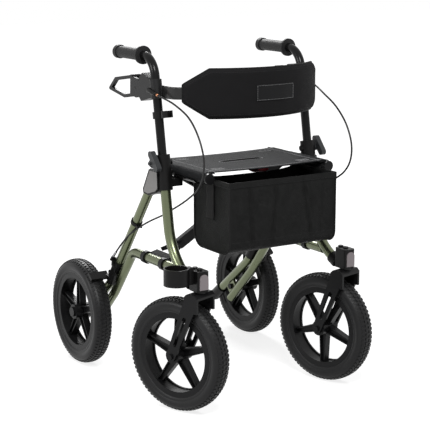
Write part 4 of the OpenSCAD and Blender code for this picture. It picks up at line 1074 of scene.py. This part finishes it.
back_pad = pad_piece()
on_left_handle(back_pad)
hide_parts("backrest")
edge = [(way, pad_half_h(way)) for way in steps(PAD_SHIFT - PAD_END, PAD_SHIFT + PAD_END, PAD_COLUMNS)]
edge_line = [on_band(way, PAD_MID_H + h, PAD_T / 2) for way, h in edge]
edge_line += [on_band(way, PAD_MID_H - h, PAD_T / 2) for way, h in reversed(edge)]
pad_binding = tube("back_pad_binding", edge_line, PAD_BINDING_R, 10, binding_cloth, closed=True)
on_left_handle(pad_binding)
patch_lines = [[on_pad(way, r, PATCH_LIFT) for way in steps(*PATCH_ALONG, 60)]
               for r in steps(*PATCH_RISE, 16)]
patch = draped("back_patch", patch_lines, patch_cloth, PATCH_T)
on_left_handle(patch)
(left, right), (low, top) = ((a + PATCH_STITCH_INSET, b - PATCH_STITCH_INSET)
                             for a, b in (PATCH_ALONG, PATCH_RISE))
border = [*((way, low) for way in steps(left, right, 50)), *((right, r) for r in steps(low, top, 18)),
          *((way, top) for way in steps(right, left, 50)), *((left, r) for r in steps(top, low, 18))]
stitch_end = PAD_END - PAD_STITCH_END
along = steps(PAD_SHIFT - stitch_end, PAD_SHIFT + stitch_end, PAD_COLUMNS)
seams = [[on_pad(way, hand * (pad_half_h(way) - PAD_STITCH_INSET), PAD_STITCH_LIFT) for way in along]
         for hand in (1, -1)]
pad_stitches = stitches("back_pad_stitches", seams, thread=thread_dark)
patch_seam = [on_pad(way, r, PATCH_STITCH_LIFT) for way, r in border]
patch_stitches = stitches("back_patch_stitches", [patch_seam], thread=thread_grey)
for piece in (pad_stitches, patch_stitches):
    on_left_handle(piece)
low_f = (REAR_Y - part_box("backrest")[1][1]) * 1000
band_end = PAD_BEND + BEND_F - low_f
for side, s in SIDES:
    pad_end = PAD_END + s * PAD_SHIFT
    free = steps(pad_end - BAND_TUCK, band_end - BAND_GAP, 40)
    line = [on_band(s * way, PAD_MID_H, band_depth(way, pad_end)) for way in free]
    band = band_loop(f"back_band_{side}", line, Vector((0, 0, BAND_H)), BAND_T, band_gloss, closed=False)
    on_left_handle(band)

# Studio: a pale floor, a white surround and soft lamps.
# The camera stands where the photograph was taken from.
WHITE = (1.0, 1.0, 1.0, 1.0)
FLOOR_GREY = (0.36, 0.36, 0.36, 1.0)
FLOOR_HALF = 14.0
FLOOR_GLOW = (0.9, 2.6, 0.8, 1.0)
SURROUND_LIGHT = 0.26
AIM = Vector((0, 0, 0.45))
# A lamp is its place, size and power.
LAMPS = {"key": ((-1.2, -2.6, 3.3), 1.0, 95), "side": ((-3.2, 0.3, 1.9), 0.8, 34),
         "back": ((0.9, 2.6, 2.6), 1.0, 70)}
CAMERA_PLACE = (-1.96103, REAR_Y - 3.39324, 1.21545)
CAMERA_TURN = (78.247, 0.0, -32.118)
CAMERA_LENS = 113.07


def seen_directly(tree):
    rays = tree.nodes.new("ShaderNodeLightPath")
    seen = rays.outputs["Is Camera Ray"]
    for label in ("Is Glossy Ray", "Is Transmission Ray"):
        most = tree.nodes.new("ShaderNodeMath")
        most.operation = "MAXIMUM"
        tree.links.new(seen, most.inputs[0])
        tree.links.new(rays.outputs[label], most.inputs[1])
        seen = most.outputs["Value"]
    return seen


def mapped(tree, value, low, high, first, last):
    node = tree.nodes.new("ShaderNodeMapRange")
    for label, number in (("From Min", low), ("From Max", high), ("To Min", first), ("To Max", last)):
        node.inputs[label].default_value = number
    tree.links.new(value, node.inputs["Value"])
    return node.outputs["Result"]


def studio_floor():
    mat = bpy.data.materials.new("studio_floor")
    mat.use_nodes = True
    tree = mat.node_tree
    shader = tree.nodes["Principled BSDF"]
    shader.inputs["Base Color"].default_value = FLOOR_GREY
    shader.inputs["Roughness"].default_value = 0.95
    shader.inputs["Specular IOR Level"].default_value = 0.0
    shader.inputs["Emission Color"].default_value = WHITE
    coords = tree.nodes.new("ShaderNodeTexCoord")
    away = tree.nodes.new("ShaderNodeVectorMath")
    away.operation = "LENGTH"
    glow = tree.nodes.new("ShaderNodeMath")
    glow.operation = "MULTIPLY"
    tree.links.new(coords.outputs["Object"], away.inputs[0])
    tree.links.new(mapped(tree, away.outputs["Value"], *FLOOR_GLOW), glow.inputs[0])
    tree.links.new(seen_directly(tree), glow.inputs[1])
    tree.links.new(glow.outputs["Value"], shader.inputs["Emission Strength"])
    corners = [(x * FLOOR_HALF, y * FLOOR_HALF, 0) for x, y in ((-1, -1), (1, -1), (1, 1), (-1, 1))]
    mesh_piece("studio_floor", corners, [(0, 1, 2, 3)], mat)


def studio_world():
    world = bpy.data.worlds.new("surround")
    world.use_nodes = True
    tree = world.node_tree
    back = tree.nodes["Background"]
    back.inputs["Color"].default_value = WHITE
    tree.links.new(mapped(tree, seen_directly(tree), 0.0, 1.0, SURROUND_LIGHT, 1.0), back.inputs["Strength"])
    bpy.context.scene.world = world


def lamp(name, place, size, power):
    data = bpy.data.lights.new(name, "AREA")
    data.size = size
    data.energy = power
    body = bpy.data.objects.new(name, data)
    body.location = place
    body.rotation_euler = (AIM - Vector(place)).to_track_quat("-Z", "Y").to_euler()
    bpy.context.scene.collection.objects.link(body)


studio_floor()
studio_world()
for name, (place, size, power) in LAMPS.items():
    lamp(name, place, size, power)

camera_lens = bpy.data.cameras.new("camera")
camera_lens.sensor_width = 36.0
camera_lens.lens = CAMERA_LENS
camera = bpy.data.objects.new("camera", camera_lens)
camera.location = CAMERA_PLACE
camera.rotation_euler = [math.radians(a) for a in CAMERA_TURN]
bpy.context.scene.collection.objects.link(camera)
bpy.context.scene.camera = camera
bpy.context.scene.view_settings.view_transform = "Standard"
